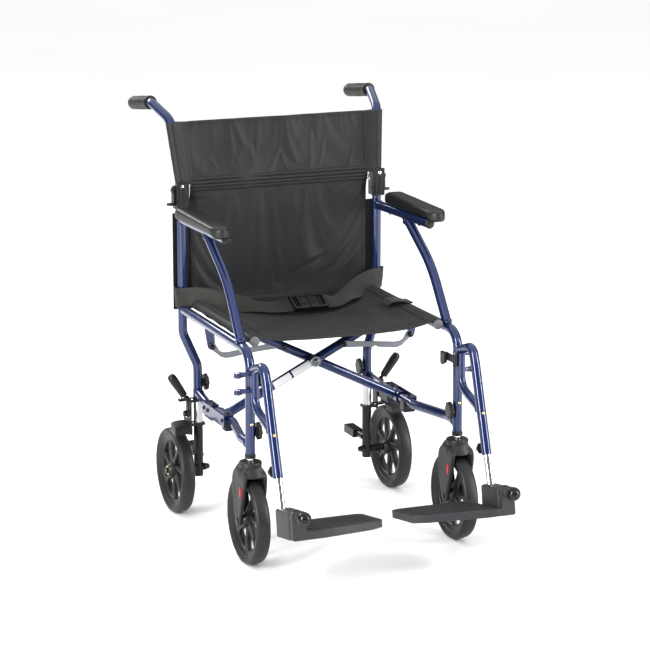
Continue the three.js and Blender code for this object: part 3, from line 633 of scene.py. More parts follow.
def wheel(name, side, x, y, half_hub, body, rim_nodes, tyre_nodes):
    profile = [(82.5, -11.5), (85, -13.2), (90, -16), (94, -17), (97.4, -15.4), (99.6, -11.6),
               (WHEEL_RADIUS, -5.5), (WHEEL_RADIUS, 5.5), (99.6, 11.6), (97.4, 15.4), (94, 17), (90, 16),
               (85, 13.2), (82.5, 11.5)]
    bm = bmesh.new()
    turned(bm, profile, (x, y, AXLE_Z), (1, 0, 0), 112, looped=True)
    make(f"tyre_{name}", bm, "tyre", body, side, nodes=tyre_nodes, crease=50)

    bm = bmesh.new()
    ring = [(69, -6), (72, -9), (80, -10), (82.4, -12.6), (85, -12.6), (85, 12.6), (82.4, 12.6), (80, 10),
            (72, 9), (69, 6)]
    turned(bm, ring, (x, y, AXLE_Z), (1, 0, 0), 96, looped=True)
    hub = [(5.6, -half_hub), (12, -half_hub), (14, -half_hub + 2), (17.5, -8), (17.5, 8),
           (14, half_hub - 2), (12, half_hub), (5.6, half_hub)]
    turned(bm, hub, (x, y, AXLE_Z), (1, 0, 0), 48, looped=True)
    spokes = 7
    for k in range(spokes):
        start = 2 * math.pi * k / spokes
        rings = []
        steps = 12
        for i in range(steps + 1):
            s = i / steps
            r = 14 + 59 * s
            angle = start + 0.42 * math.sin(math.pi * s * 0.5) * (1 - 0.35 * s)
            out = Vector((0, math.cos(angle), math.sin(angle)))
            flat = Vector((0, -math.sin(angle), math.cos(angle)))
            wide = 5.2 + 8.5 * max(0, s - 0.62) ** 1.3 / 0.38 ** 1.3 + 2.5 * (1 - s) ** 3
            deep = 8.5 - 2.5 * s
            centre = Vector((x, y, AXLE_Z)) + out * r
            corner = []
            for t in full_turn(12):
                corner.append(centre + flat * wide * squared(math.cos(t), 0.6)
                              + Vector((deep * squared(math.sin(t), 0.6), 0, 0)))
            rings.append(corner)
        loft(bm, rings)
    make(f"spokes_{name}", bm, "wheel", body, side, nodes=rim_nodes, crease=45)
    bm = bmesh.new()
    turned(bm, [(7.6, half_hub - 1.5), (10.6, half_hub - 1), (10.6, half_hub + 0.4), (7.6, half_hub + 0.4)],
           (x, y, AXLE_Z), (1, 0, 0), 32, looped=True)
    make(f"hub_ring_{name}", bm, "brass" if name.startswith("rear") else "silver", body, side)


# ---- casters ----
def caster(name, side):
    x, y = FRONT_POST["x"], FRONT_POST["y"]
    axle_y = y + CASTER_TRAIL
    body = f"caster_fork_{name}"
    bm = bmesh.new()
    disk = [(8, 229), (25, 229), (26, 230.5), (26, 236.5), (24.5, 239), (13, 239.6),
            (12, 238.5), (8, 238.5)]
    turned(bm, disk, (x, y, 0), (0, 0, 1), 64, looped=True)
    rings = []
    for z, half_x, ahead, behind in ((230, 22.5, 23, 23), (224, 25, 26, 27), (217, 28.5, 30, 33),
                                     (210, 29.5, 33, 37), (204.5, 28.8, 34.5, 40)):
        ring = []
        for t in full_turn(56):
            reach = behind if math.sin(t) > 0 else ahead
            ring.append(Vector((x + half_x * squared(math.cos(t), 0.85),
                                y + reach * squared(math.sin(t), 0.85), z)))
        rings.append(ring)
    loft(bm, rings)
    half = CASTER_LEG["outer"] + 0.5
    arch = [(-half, 184), (-half - 0.8, 205), (-half + 2, 219), (-half + 9, 229), (0, 232), (half - 9, 229),
            (half - 2, 219), (half + 0.8, 205), (half, 184), (half - 7, 184), (half - 8, 198),
            (half - 14, 206.5), (0, 209), (14 - half, 206.5), (8 - half, 198), (7 - half, 184)]
    prism(bm, [(x + a, b) for a, b in arch], "y", y - 22, y + 30)
    outline = [p.copy() for p in smooth_line([(y - 33, 214, 0), (y, 222, 0), (y + 36, 214, 0),
                                          (axle_y + 33, 184, 0), (axle_y + 27, 150, 0),
                                          (axle_y + 20, 118, 0), (axle_y + 12, AXLE_Z - 9, 0),
                                          (axle_y, AXLE_Z - 15, 0), (axle_y - 11, AXLE_Z - 9, 0),
                                          (axle_y - 17, 112, 0), (y - 21, 150, 0), (y - 32, 184, 0)],
                                         5, closed=True)]
    for low, high in ((-CASTER_LEG["outer"], -CASTER_LEG["inner"]),
                      (CASTER_LEG["inner"], CASTER_LEG["outer"])):
        rings = []
        outer_high = abs(high) > abs(low)
        outward = 1 if outer_high else -1
        for inset, d in ((3.5, 0), (1.0, 0.8), (0, 2.6), (0, 5.2), (0.8, 6.8), (2.6, 7.5)):
            at = low + d if outer_high else high - d
            middle = Vector((axle_y - 1, 155, 0))
            ring = []
            for p in outline:
                inward = (middle - Vector(p)).normalized() * inset
                bow = 2.4 * math.sin(math.pi * min(max((p[1] - 86) / 135, 0), 1)) * outward
                ring.append(Vector((x + at + bow * d / 7.5, p[0] + inward.x, p[1] + inward.y)))
            rings.append(ring)
        loft(bm, rings)
    fork = make(f"fork_{name}", bm, "fork", body, side, nodes=[f"caster_fork_{name}"], crease=70)
    one_skin = fork.modifiers.new("one skin", "REMESH")
    one_skin.mode = "VOXEL"
    one_skin.voxel_size = 1.5 * MM
    one_skin.use_smooth_shade = True
    softened = fork.modifiers.new("softened", "SMOOTH")
    softened.factor = 0.5
    softened.iterations = 20

    bm = bmesh.new()
    for way in (-1, 1):
        rings = []
        for scale, lift in ((1.0, -1.5), (1.0, 0.5), (0.8, 1.1), (0.1, 1.3)):
            rings.append([Vector((x + way * (CASTER_LEG["outer"] + 2.0 + lift),
                                  y - 13 + 4.2 * scale * math.cos(t), 172 + 13 * scale * math.sin(t)))
                          for t in full_turn(28)])
        loft(bm, rings)
    make(f"red_insets_{name}", bm, "red", body, side)

    bm = bmesh.new()
    rod(bm, (x, y, 236), (x, y, 248), 8.5)
    make(f"caster_stem_{name}", bm, "chrome", body, side)
    bm = bmesh.new()
    turned(bm, [(9, 246.5), (12, 246.5), (12.5, 248), (12.5, 252.5), (11.6, 253.6), (9, 253.6)], (x, y, 0),
           (0, 0, 1), 40, looped=True)
    rod(bm, (x - 30, axle_y, AXLE_Z), (x + 30, axle_y, AXLE_Z), 4.6)
    for way in (-1, 1):
        turned(bm, [(7, 0), (7, 2), (5.4, 3), (3, 3), (2.8, 1.6), (0, 1.6)],
               (x + way * 26.5, axle_y, AXLE_Z), (way, 0, 0), 24)
    make(f"caster_bolt_{name}", bm, "black_steel", body, side)
    wheel(f"caster_{name}", side, x, axle_y, 17.5, f"caster_wheel_{name}", [], [f"caster_wheel_{name}"])


# ---- brakes and hand knobs ----
def brake(name, side):
    bm = bmesh.new()
    rod(bm, (240.5, 258, 236), (256, 258, 236), 7)
    prism(bm, smooth_outline([(250, 232), (254, 228), (262, 228), (266, 232), (264, 262), (258, 277),
                              (253, 275)]), "x", 243, 248)
    tube(bm, [(246, 257, 268), (252, 256, 280), (260, 255, 291)], 10, 4)
    make(f"brake_arm_{name}", bm, "black_steel", f"brake_lever_{name}", side, bevel=0.7)
    base, tip = Vector((254, 256, 280)), Vector((289, 251, 333))
    bm = bmesh.new()
    profile = [(6.5, 0), (8.4, 1.5), (8.8, 6), (9.6, 24), (10.6, 46), (10.4, 56), (9.0, 61),
               (6.0, 64), (2, 65.4)]
    turned(bm, profile, base, tip - base, 32)
    make(f"brake_grip_{name}", bm, "black", f"brake_lever_{name}", side, nodes=[f"brake_lever_{name}"],
         crease=50)
    bm = bmesh.new()
    shoe = ((200, 201), (216, 206.5), (232, 213), (233, 226), (230, 230), (214, 226), (202, 222), (199, 217))
    rings = []
    for k in range(9):
        s = k / 8
        drop = 3.5 * (2 * s - 1) ** 2
        at = 253 + 43 * s
        rings.append([Vector((at, shoe_y, shoe_z - drop)) for shoe_y, shoe_z in shoe])
    loft(bm, rings)
    block(bm, 249.5, 254, 214, 262, 214, 228)
    make(f"brake_block_{name}", bm, "black", f"brake_shoe_{name}", side, bevel=1.6, segments=3,
         nodes=[f"brake_shoe_{name}"])
    star_knob(f"rear_knob_{name}", side, Vector((LEG["x"] - TUBE, LEG["y"], HAND_SCREW_Z)))
    star_knob(f"front_knob_{name}", side, Vector((FRONT_POST["x"] - TUBE, FRONT_POST["y"], HAND_SCREW_Z)))


def smooth_outline(points):
    return [(p.x, p.y) for p in smooth_line([(a, b, 0) for a, b in points], 5, closed=True)]


def star_knob(node, side, at):
    """A hand screw with eight lobes."""
    rings = []
    for radius, offset in ((9, -3.6), (17.5, -4.2), (19.8, -6), (20.4, -9), (19.6, -11.6),
                           (17, -12.8), (9, -13)):
        ring = []
        for t in full_turn(96):
            lobe = 1 - 0.13 * (0.5 - 0.5 * math.cos(8 * t)) ** 2 * (radius > 10)
            ring.append(at + Vector((offset, radius * lobe * math.cos(t), radius * lobe * math.sin(t))))
        rings.append(ring)
    bm = loft(bmesh.new(), rings)
    turned(bm, [(9.5, -5), (9.5, -1), (8.2, -0.3), (5, -0.3)], at, (1, 0, 0), 32)
    make(f"{node}_lobes", bm, "black", node, side, nodes=[node], crease=45)


# ---- footrests ----
DROP = Vector((0, HANGER["end"][0] - HANGER["elbow"][0],
               HANGER["end"][1] - HANGER["elbow"][1])).normalized()
AHEAD = Vector((0, DROP.z, -DROP.y))


def along_drop(distance, ahead=0.0):
    return Vector((HANGER["x"], *HANGER["end"])) + DROP * distance + AHEAD * ahead


def on_foot(bm):
    """Places a shape built with Y forward onto the tilted footrest frame."""
    place = (Matrix.Translation((0, FOOT["y"], FOOT["z"])) @ Matrix.Rotation(-FOOT["pitch"], 4, "X")
             @ Matrix.Diagonal((1, -1, 1, 1)))
    bmesh.ops.transform(bm, matrix=place, verts=bm.verts)
    return bm


def footrest(name, side):
    x = HANGER["x"]
    body = f"hanger_{name}"
    bm = bmesh.new()
    tube(bm, [(x, -206, 452), (x, -266, 472), (x, *HANGER["elbow"]), (x, *HANGER["end"])], 28)
    tube(bm, [(x, -205, 452), (x, -209, 368), (x, -312, 338)], 34, SLIM_TUBE)
    turned(bm, [(TUBE, 0), (TUBE - 1.5, 2.6), (0, 3.4)], (x, -206, 452), (0, 0.95, -0.31), 28)
    for z in (SWING_PIN["upper"] + SWING_GAP, SWING_PIN["lower"] + SWING_GAP):
        start = Vector((x, -205, z + 2))
        pin = Vector((SWING_PIN["x"], SWING_PIN["y"], z + 2))
        sweep(bm, bent([start, start.lerp(pin, 0.5) + Vector((0, -3, 0)), start.lerp(pin, 0.85)], 12), 4.4,
              16)
        turned(bm, [(4.2, -2), (8, -2), (8, 2), (4.2, 2)], pin, (0, 0, 1), 32, looped=True)
    bead(bm, (x, -305, 340), (0, -0.96, -0.28), SLIM_TUBE)
    make(f"hanger_tube_{name}", bm, "blue", body, side, nodes=[f"hanger_{name}"])
    bm = bmesh.new()
    for z in (SWING_PIN["upper"] + SWING_GAP, SWING_PIN["lower"] + SWING_GAP):
        rod(bm, (SWING_PIN["x"], SWING_PIN["y"], z - 9), (SWING_PIN["x"], SWING_PIN["y"], z + 5), 3.9)
        turned(bm, [(6, 0), (6, 1.6), (4, 2.8), (0, 3)], (SWING_PIN["x"], SWING_PIN["y"], z + 4),
               (0, 0, 1), 24)
    make(f"swing_pins_{name}", bm, "chrome", body, side)
    snap_button(f"hanger_button_{name}", body, side, along_drop(-92, TUBE - 0.3), AHEAD)
    bm = bmesh.new()
    back = along_drop(-16, -TUBE)
    turned(bm, [(6, -1.6), (6.5, 8), (6.5, 9)], back, -AHEAD, 24)
    rings = []
    for radius, offset in ((6, 8), (11.5, 8.6), (13, 10.5), (13, 14.5), (11.5, 17), (6, 18)):
        axis = -AHEAD
        u, v = Vector((1, 0, 0)), axis.cross(Vector((1, 0, 0)))
        rings.append([back + axis * offset + (u * math.cos(t) + v * math.sin(t)) * radius
                      * (1 - 0.1 * (0.5 - 0.5 * math.cos(6 * t)) * (radius > 7))
                      for t in full_turn(72)])
    loft(bm, rings)
    make(f"length_screw_{name}", bm, "black", body, side)

    bm = bmesh.new()
    rod(bm, (232.5, -207, 413), (232.5, -207, 443), 5.2)
    block(bm, 228.5, 237.5, -206, -152, 421, 436)
    prism(bm, [(-176, 439), (-150, 439), (-150, 412), (-158, 408), (-172, 416)], "x", 221, 229)
    make(f"latch_body_{name}", bm, "black", f"hanger_latch_{name}", side, bevel=1.4, segments=3,
         nodes=[f"hanger_latch_{name}"])
    bm = bmesh.new()
    screw(bm, (232.5, -207, 443), (0, 0, 1), 4, 2.4)
    screw(bm, (233, -160, 436), (0, 0, 1), 3, 2)
    make(f"latch_screws_{name}", bm, "steel", f"hanger_latch_{name}", side)

    body = f"footrest_{name}"
    bm = bmesh.new()
    rod(bm, along_drop(-112), along_drop(92), 9, 36)
    for k in range(5):
        at = along_drop(-100 + 16 * k, -8.9)
        turned(bm, [(2.2, 0), (2.2, 0.15), (0, 0.15)], at, -AHEAD, 16)
    make(f"chrome_tube_{name}", bm, "chrome", body, side, nodes=[f"footrest_tube_{name}"])

    bm = bmesh.new()
    outline = rounded_outline(226, 262, -15, 78, 12, 8)
    rings = []
    for inset, z in ((2.5, -50), (0.6, -49), (0, -46), (0, 4), (1.2, 8), (4, 10)):
        centre = Vector((244, 31))
        rings.append([Vector((p[0] + (centre.x - p[0]) * inset / 40, p[1] + (centre.y - p[1]) * inset / 40,
                              z)) for p in outline])
    loft(bm, rings)
    make(f"bracket_body_{name}", on_foot(bm), "footrest", body, side, nodes=[f"heel_bracket_{name}"],
         crease=50)
    bm = bmesh.new()
    turned(bm, [(9, 0), (15, 0), (16, 2), (16, 6), (13, 7.5), (9, 7.5)], (FOOT["pin_x"], 74.5, 0),
           (0, 1, 0), 40, looped=True)
    make(f"pin_cup_{name}", on_foot(bm), "black", body, side)

    bm = bmesh.new()
    rod(bm, (FOOT["pin_x"], 48, 0), (FOOT["pin_x"], 112, 0), 5)
    rod(bm, (FOOT["pin_x"], 92.5, 0), (FOOT["pin_x"], 106, 0), 7)
    make(f"pin_shank_{name}", on_foot(bm), "chrome", f"footplate_{name}", side,
         nodes=[f"footplate_pin_{name}"])
    bm = bmesh.new()
    ball = [(5.5, -17.5), (8, -16.5)]
    for k in range(17):
        a = math.radians(-56 + 146 * k / 16)
        ball.append((15.5 * math.cos(a), 15.5 * math.sin(a)))
    turned(bm, ball, (FOOT["pin_x"], 121, 0), (0, 1, 0), 40)
    make(f"pin_knob_{name}", on_foot(bm), "gloss", f"footplate_{name}", side, crease=50)

    body = f"footplate_{name}"
    bm = bmesh.new()
    prism(bm, [(35, -70), (50, -80), (224, -80), (224, 79), (260, 79), (260, 92), (190, 92), (66, 64),
               (35, 42)], "z", -50, -32)
    make(f"plate_{name}", on_foot(bm), "footrest", body, side, bevel=2.4, segments=3,
         nodes=[f"footplate_{name}"])
    bm = bmesh.new()
    prism(bm, [(42, -66), (52, -73), (217, -73), (217, 80), (190, 84), (68, 57), (42, 38)],
          "z", -32.6, -31.5)
    for k in range(13):
        at = 54 + 12.5 * k
        reach = min(38 + (at - 42) * 0.33, 76)
        prism(bm, [(at, -68), (at + 5, -68), (at + 5, reach), (at, reach)], "z", -31.6, -30.4)
    make(f"plate_tread_{name}", on_foot(bm), "plate", body, side, bevel=0.5, segments=1)
    bm = bmesh.new()
    prism(bm, rounded_outline(229, 261, -50, 12, 5), "y", 79.5, 91.5)
    turned(bm, [(5.4, 0), (11, 0), (11, 2), (9.5, 3.2), (5.4, 3.2)], (FOOT["pin_x"], 91, 0), (0, 1, 0), 32,
           looped=True)
    make(f"plate_flange_{name}", on_foot(bm), "footrest", body, side, bevel=1.6, segments=3)


# ---- cross brace ----
def brace(node, side, y, body):
    """A brace tube: its foot is on the other side's lower rail, and its head is this side's seat rail."""
    foot, head = (-BRACE["x"], y, BRACE["foot"]), (BRACE["x"], y, SEAT_RAIL["z"])
    bm = bmesh.new()
    rod(bm, foot, head, TUBE, 28)
    turned(bm, [(TUBE + 0.8, -24), (14.5, -24), (14.5, 24), (TUBE + 0.8, 24)], foot, (0, 1, 0),
           40, looped=True)
    rod(bm, (head[0], SEAT_RAIL["front"], head[2]), (head[0], SEAT_RAIL["rear"], head[2]), TUBE, 28)
    way = (Vector(head) - Vector(foot)).normalized()
    bead(bm, Vector(head) - way * (TUBE - 1), way, TUBE)
    bead(bm, Vector(foot) + way * 13.5, way, TUBE)
    make(f"{node}_steel", bm, "blue", body, side, nodes=[node])
    bm = bmesh.new()
    for end, way in ((SEAT_RAIL["front"], -1), (SEAT_RAIL["rear"], 1)):
        turned(bm, [(TUBE - 1, -4), (TUBE + 0.6, -1), (TUBE + 0.6, 1.5), (TUBE - 1, 4.2), (TUBE - 5, 5.6),
                    (0, 6)], (head[0], end, head[2]), (0, way, 0), 36)
    make(f"{node}_caps", bm, "cap", body, side)
    bm = bmesh.new()
    front = y - TUBE
    turned(bm, [(6, 0), (6, 2.6), (4.4, 3.8), (2.6, 3.8), (2.4, 2.2), (0, 2.2)],
           (LINK["pin"][0], front + 0.5, LINK["pin"][1]), (0, -1, 0), 24)
    make(f"{node}_link_bolt", bm, "black_steel", body, side)


def pivot():
    z, front, rear = BRACE["pivot"], BRACE["front"] - TUBE - 0.3, BRACE["rear"] + TUBE + 0.3
    bm = bmesh.new()
    turned(bm, [(4, 0), (12.6, 0), (13, 0.8), (13, 2), (12, 3), (4, 3)], (0, front, z), (0, -1, 0),
           48, looped=True)
    rod(bm, (0, front - 3, z), (0, rear + 3, z), 4)
    turned(bm, [(7, 0), (7, 2), (6, 4.4), (3.4, 5.4), (3, 3.4), (0, 3.4)], (0, front - 2.8, z),
           (0, -1, 0), 32)
    turned(bm, [(8, 0), (8, 5), (6.5, 7), (0, 7)], (0, rear, z), (0, 1, 0), 6)
    make("pivot_stack", bm, "steel", "brace_b", bevel=0.3, nodes=["pivot_bolt"])


def guide_link(name, side):
    y = BRACE["front"] - TUBE - 0.6 - LINK["thick"] if side > 0 else BRACE["rear"] + TUBE + 0.6
    (px, pz), (fx, fz) = LINK["pin"], LINK["frame"]
    lower = [(px + 2, pz - 8), (120, 410.5), (143, 408), (146, 410.5), (151, 410.5), (154, 407), (190, 402),
             (204, 401.5), (216, 406), (226, 415), (fx + 7, fz - 3)]
    upper = [(fx + 6, fz + 7), (fx - 1, fz + 8.5), (fx - 8, fz + 5), (218, 420), (208, 415.5), (198, 415.5),
             (px + 1, pz + 8), (px - 6, pz + 5), (px - 8, pz), (px - 5, pz - 6)]
    bm = bmesh.new()
    prism(bm, lower + upper, "y", y, y + LINK["thick"])
    make(f"link_plate_{name}", bm, "steel", f"guide_link_{name}", side, bevel=0.5,
         nodes=[f"guide_link_{name}"])
    bm = bmesh.new()
    if side > 0:
        turned(bm, [(7, 0), (7, 1), (5.8, 1), (5.8, 3.4), (4.4, 4.4), (2.8, 4.4), (2.6, 2.6), (0, 2.6)],
               (px, y, pz), (0, -1, 0), 24)
    else:
        turned(bm, [(7, 0), (7, 1), (5.5, 1), (5.5, 5), (0, 5)], (px, y + LINK["thick"], pz), (0, 1, 0), 6)
    make(f"link_bolt_head_{name}", bm, "black_steel", f"guide_link_{name}", side)


def blank_label():
    """A plain pale strip wrapped on the lower half of brace tube b."""
    foot = Vector((-BRACE["x"], BRACE["front"], BRACE["foot"]))
    head = Vector((BRACE["x"], BRACE["front"], SEAT_RAIL["z"]))
    way = (head - foot).normalized()
    up = Vector((-way.z, 0, way.x))
    for k, (start, end) in enumerate(((0.27, 0.365), (0.375, 0.475))):
        rings = []
        for s in (start, end):
            middle = foot.lerp(head, s)
            arc = [math.radians(-62 + 118 * j / 14) for j in range(15)]
            outer, inner = [[middle + (Vector((0, -math.cos(a), 0)) + up * math.sin(a)) * radius
                             for a in arc] for radius in (TUBE + 0.35, TUBE - 0.1)]
            rings.append(outer + inner[::-1])
        make(f"blank_label_{k}", loft(bmesh.new(), rings), "label", "brace_b")


# ---- back ----
def back_hardware(name, side):
    body = FRAME_OF[side]
    x, y, z = CANE_PIVOT
    bm = bmesh.new()
    block(bm, x - 15, x + 15, 269, 300, POST["top"], 742)
    block(bm, x - 15, x + 15, 268, 272.5, POST["top"], 787)
    for low, high in ((-15, -11.4), (11.4, 15)):
        prism(bm, [(270, 738), (300, 738), (300, 768), (294, 776), (270, 784)], "x", x + low, x + high)
    for dx in (-5.2, 5.2):
        rod(bm, (x + dx, 268.6, POST["top"] + 1), (x + dx, 268.6, 786), 2.4, 12)
    make(f"hinge_bracket_{name}", bm, "black", body, side, bevel=1.2, nodes=[f"back_hinge_{name}"])
    bm = bmesh.new()
    rod(bm, (x - 16, y, z), (x + 16, y, z), 3.4)
    turned(bm, [(4.6, 0), (4.6, 1), (3, 2.4), (0, 2.8)], (x + 2, 268.2, 776), (0, -1, 0), 24)
    make(f"hinge_rivets_{name}", bm, "chrome", body, side)

    body = f"cane_{name}"
    bm = bmesh.new()
    tube(bm, [(x, y - 3, 752), CANE["foot"], CANE["bend"], GRIP["start"], GRIP["end"]], 38)
    make(f"cane_tube_{name}", bm, "blue", body, side, nodes=[f"cane_{name}"])
    bm = bmesh.new()
    way = (Vector(GRIP["end"]) - Vector(GRIP["start"])).normalized()
    r = GRIP["radius"]
    profile = [(TUBE + 0.5, 0), (r - 1, 0), (r, 1.2), (r, 6.6), (r - 1, 8), (r - 2.4, 10), (r - 1.6, 13)]
    for k in range(22):
        at = 15 + 4.4 * k
        swell = 0.9 * math.sin(math.pi * k / 22)
        profile += [(r - 1.9 + swell, at), (r - 1.1 + swell, at + 0.8), (r - 1.1 + swell, at + 2.8),
                    (r - 1.9 + swell, at + 3.6)]
    profile += [(r - 1.4, 115), (r - 0.4, 119), (r - 0.6, 124), (r - 2.6, 128.5), (r - 7, 131),
                (0, GRIP["length"])]
    turned(bm, profile, Vector(GRIP["start"]) + way * 8, way, 48)
    make(f"grip_{name}", bm, "grip", body, side, nodes=[f"hand_grip_{name}"], crease=50)

    body = f"back_release_{name}"
    x += 16.6
    bm = bmesh.new()
    prism(bm, smooth_outline([(279, 731), (293, 731), (295, 745), (294, 770), (288, 776), (280, 772),
                              (277, 750)]), "x", x, x + 4)
    prism(bm, smooth_outline([(x, 279), (x + 14, 280), (x + 18, 286), (x + 14, 292), (x, 293)]),
          "z", 731, 736)
    turned(bm, [(6.4, 0), (6.4, 2), (4, 4), (0, 4.4)], (x + 3.4, 286, 766), (1, 0, 0), 24)
    make(f"release_lever_{name}", bm, "black", body, side, bevel=0.9, nodes=[f"back_release_{name}"])


# ---- soft goods ----
def grid(bm, u_count, v_count, place):
    """A sheet of quads; place takes (u, v) from 0 to 1."""
    rows = [[bm.verts.new(place(i / u_count, j / v_count)) for i in range(u_count + 1)]
            for j in range(v_count + 1)]
    for a, b in zip(rows, rows[1:]):
        for i in range(u_count):
            bm.faces.new((a[i], a[i + 1], b[i + 1], b[i]))
    return rows


def settle(piece, held, slack, gravity, stiffness, frames, cap):
    """Lets a sheet hang as cloth from its held points, and bakes the result into its mesh."""
    rest = [v.co.copy() for v in piece.data.vertices]
    group = piece.vertex_groups.new(name="held")
    for index, weight in held.items():
        group.add([index], weight, "REPLACE")
    cloth = piece.modifiers.new("Cloth", "CLOTH")
    settings = cloth.settings
    settings.vertex_group_mass = "held"
    settings.quality = 6
    settings.mass = 0.12
    settings.tension_stiffness = 30
    settings.compression_stiffness = 30
    settings.shear_stiffness = 12
    settings.bending_stiffness = stiffness
    settings.shrink_min = -slack
    settings.effector_weights.gravity = gravity
    settings.air_damping = 4
    cloth.collision_settings.use_collision = False
    cloth.point_cache.frame_start = 1
    cloth.point_cache.frame_end = frames
    scene = bpy.context.scene
    scene.frame_start, scene.frame_end = 1, frames
    for number in range(1, frames + 1):
        scene.frame_set(number)
    shaped = piece.evaluated_get(bpy.context.evaluated_depsgraph_get())
    settled = [v.co.copy() for v in shaped.data.vertices]
    piece.modifiers.remove(cloth)
    piece.vertex_groups.remove(group)
    for vertex, before, after in zip(piece.data.vertices, rest, settled):
        move = after - before
        if move.length > cap * MM:
            move *= cap * MM / move.length
        vertex.co = before + move
    scene.frame_set(1)


def thicken(piece, thickness, levels=1):
    """Gives a settled sheet its thickness, and smooths it."""
    depth = piece.modifiers.new("thickness", "SOLIDIFY")
    depth.thickness = thickness * MM
    depth.offset = 0
    finer = piece.modifiers.new("finer", "SUBSURF")
    finer.levels = levels
    finer.render_levels = levels
    bpy.context.view_layer.update()
    shaped = bpy.data.meshes.new_from_object(piece.evaluated_get(bpy.context.evaluated_depsgraph_get()))
    piece.modifiers.clear()
    piece.data = shaped
    shaped.shade_smooth()
    shaped.set_sharp_from_angle(angle=math.radians(60))


def place_point(x, y, z):
    return Vector((x, y + SHIFT, z)) * MM


def stitch_line(bm, sheet, line, length=3.0, space=1.6, lift=0.35, size=0.45, towards=(0, -1, 0)):
    """Short threads along a line, each laid on the nearest place of the sheet. Points are in millimetres."""
    line = [Vector(p) for p in line]
    for start, end in zip(line, line[1:]):
        way = (end - start).normalized()
        count = int((end - start).length / (length + space))
        for k in range(count):
            ends = []
            for at in (k * (length + space), k * (length + space) + length):
                point = start + way * at
                ends.append(on_sheet(sheet, point, towards) + Vector(towards) * lift)
            sweep(bm, ends, size, 5)


def on_sheet(sheet, point, towards):
    """The sheet's surface seen from the side that towards points to, or the point itself off the sheet."""
    out = Vector(towards)
    start = place_point(*(point + out * 60))
    found, hit, _, _ = sheet.ray_cast(start, -out)
    return Vector((hit.x / MM, hit.y / MM - SHIFT, hit.z / MM)) if found else point


def crease(point, seed, along, across, height):
    """A slow uneven offset whose folds run along one way, so that cloth buckles there."""
    wave = noise.noise(Vector((point[0] / along, point[1] / across, seed)))
    return height * wave


def ridges(lines, x, z):
    """The summed height of soft wrinkles, each a line with a width and a height that fades at its ends."""
    total = 0.0
    for (x0, z0), (x1, z1), width, height in lines:
        along = ((x - x0) * (x1 - x0) + (z - z0) * (z1 - z0)) / ((x1 - x0) ** 2 + (z1 - z0) ** 2)
        if not -0.15 < along < 1.15:
            continue
        off = ((x - x0) * (z1 - z0) - (z - z0) * (x1 - x0)) / math.hypot(x1 - x0, z1 - z0)
        off += 2.0 * noise.noise(Vector((x / 30, z / 30, 4)))
        fade = math.sin(math.pi * min(max((along + 0.15) / 1.3, 0), 1)) ** 0.7
        total += height * fade * (math.exp(-(off / width) ** 2)
                                  - 0.6 * math.exp(-((off - 1.7 * width) / width) ** 2))
    return total


LOWER_WRINKLES = [((30, 560), (125, 600), 7, -3.4), ((113, 562), (196, 632), 14, -6.0),
                  ((150, 560), (205, 585), 8, -3.0), ((215, 748), (112, 700), 5, -2.8),
                  ((216, 738), (150, 690), 4, -2.2), ((214, 752), (140, 738), 3.5, -1.8),
                  ((216, 722), (176, 676), 4, -1.6), ((-214, 640), (-170, 560), 8, -3.0),
                  ((-216, 560), (-160, 512), 6, -2.6), ((-214, 742), (-150, 756), 4, -1.6),
                  ((-80, 510), (40, 516), 7, -3.0), ((60, 508), (150, 520), 6, -2.4),
                  ((-20, 752), (-6, 640), 12, -2.4), ((70, 750), (60, 690), 8, -1.8),
                  ((-120, 748), (-150, 650), 10, -2.2)]
UPPER_WRINKLES = [((-60, 800), (-66, 850), 4, -2.0), ((-20, 799), (4, 846), 4, -2.2),
                  ((20, 798), (8, 838), 3.5, -1.8), ((80, 798), (88, 880), 5, -2.2),
                  ((104, 800), (120, 860), 4, -1.8), ((-150, 800), (-170, 836), 4, -2.0),
                  ((-190, 800), (-196, 880), 4, -1.6), ((180, 800), (196, 850), 4, -2.0),
                  ((-110, 916), (-80, 860), 6, -1.6), ((60, 916), (40, 880), 5, -1.4)]
LEAN = math.atan2(24, 140)  # the backward lean of the upper panel
UPPER_BASE_Y = 286
PANEL_X = 223
CLOTH_STEP = 4.5


def squash_with_fold(piece):
    """Gives the piece its own copy of its mesh; the cloth is not made to gather towards the left frame as
    the chair folds.
    """
    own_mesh(piece)


def hung_panel(name, node, low, high, face, held_rows, seed, wrinkles):
    """A back panel between the posts. face gives the y of its middle surface at a height."""
    columns, rows = round(2 * PANEL_X / CLOTH_STEP), round((high - low) / CLOTH_STEP)
    bm = bmesh.new()

    def place(u, v):
        x, z = -PANEL_X + 2 * PANEL_X * u, low + (high - low) * v
        free = math.sin(math.pi * u)
        dent = (crease((x + 0.55 * z, z - 0.4 * x), seed, 46, 190, 3.2)
                + crease((x, z), seed + 7, 110, 70, 2.6))
        return Vector((x, face(z) + (dent + ridges(wrinkles, x, z)) * free ** 0.4, z))

    grid(bm, columns, rows, place)
    piece = make(name, bm, "cloth", None, nodes=[node])
    held = {}
    for j in range(rows + 1):
        for i in range(columns + 1):
            if i in (0, columns) or j in (0, rows) or held_rows(low + (high - low) * j / rows):
                held[j * (columns + 1) + i] = 1.0
    settle(piece, held, 0.005, 0.6, 1.0, 20, 6)
    thicken(piece, 3.0)
    return piece


def upper_face(z):
    return UPPER_BASE_Y + (z - BACK["fold"]) * math.tan(LEAN)


def lower_face(z):
    return 293.5 if z < 740 else 293.5 - 7.0 * min(1, (z - 740) / 30)


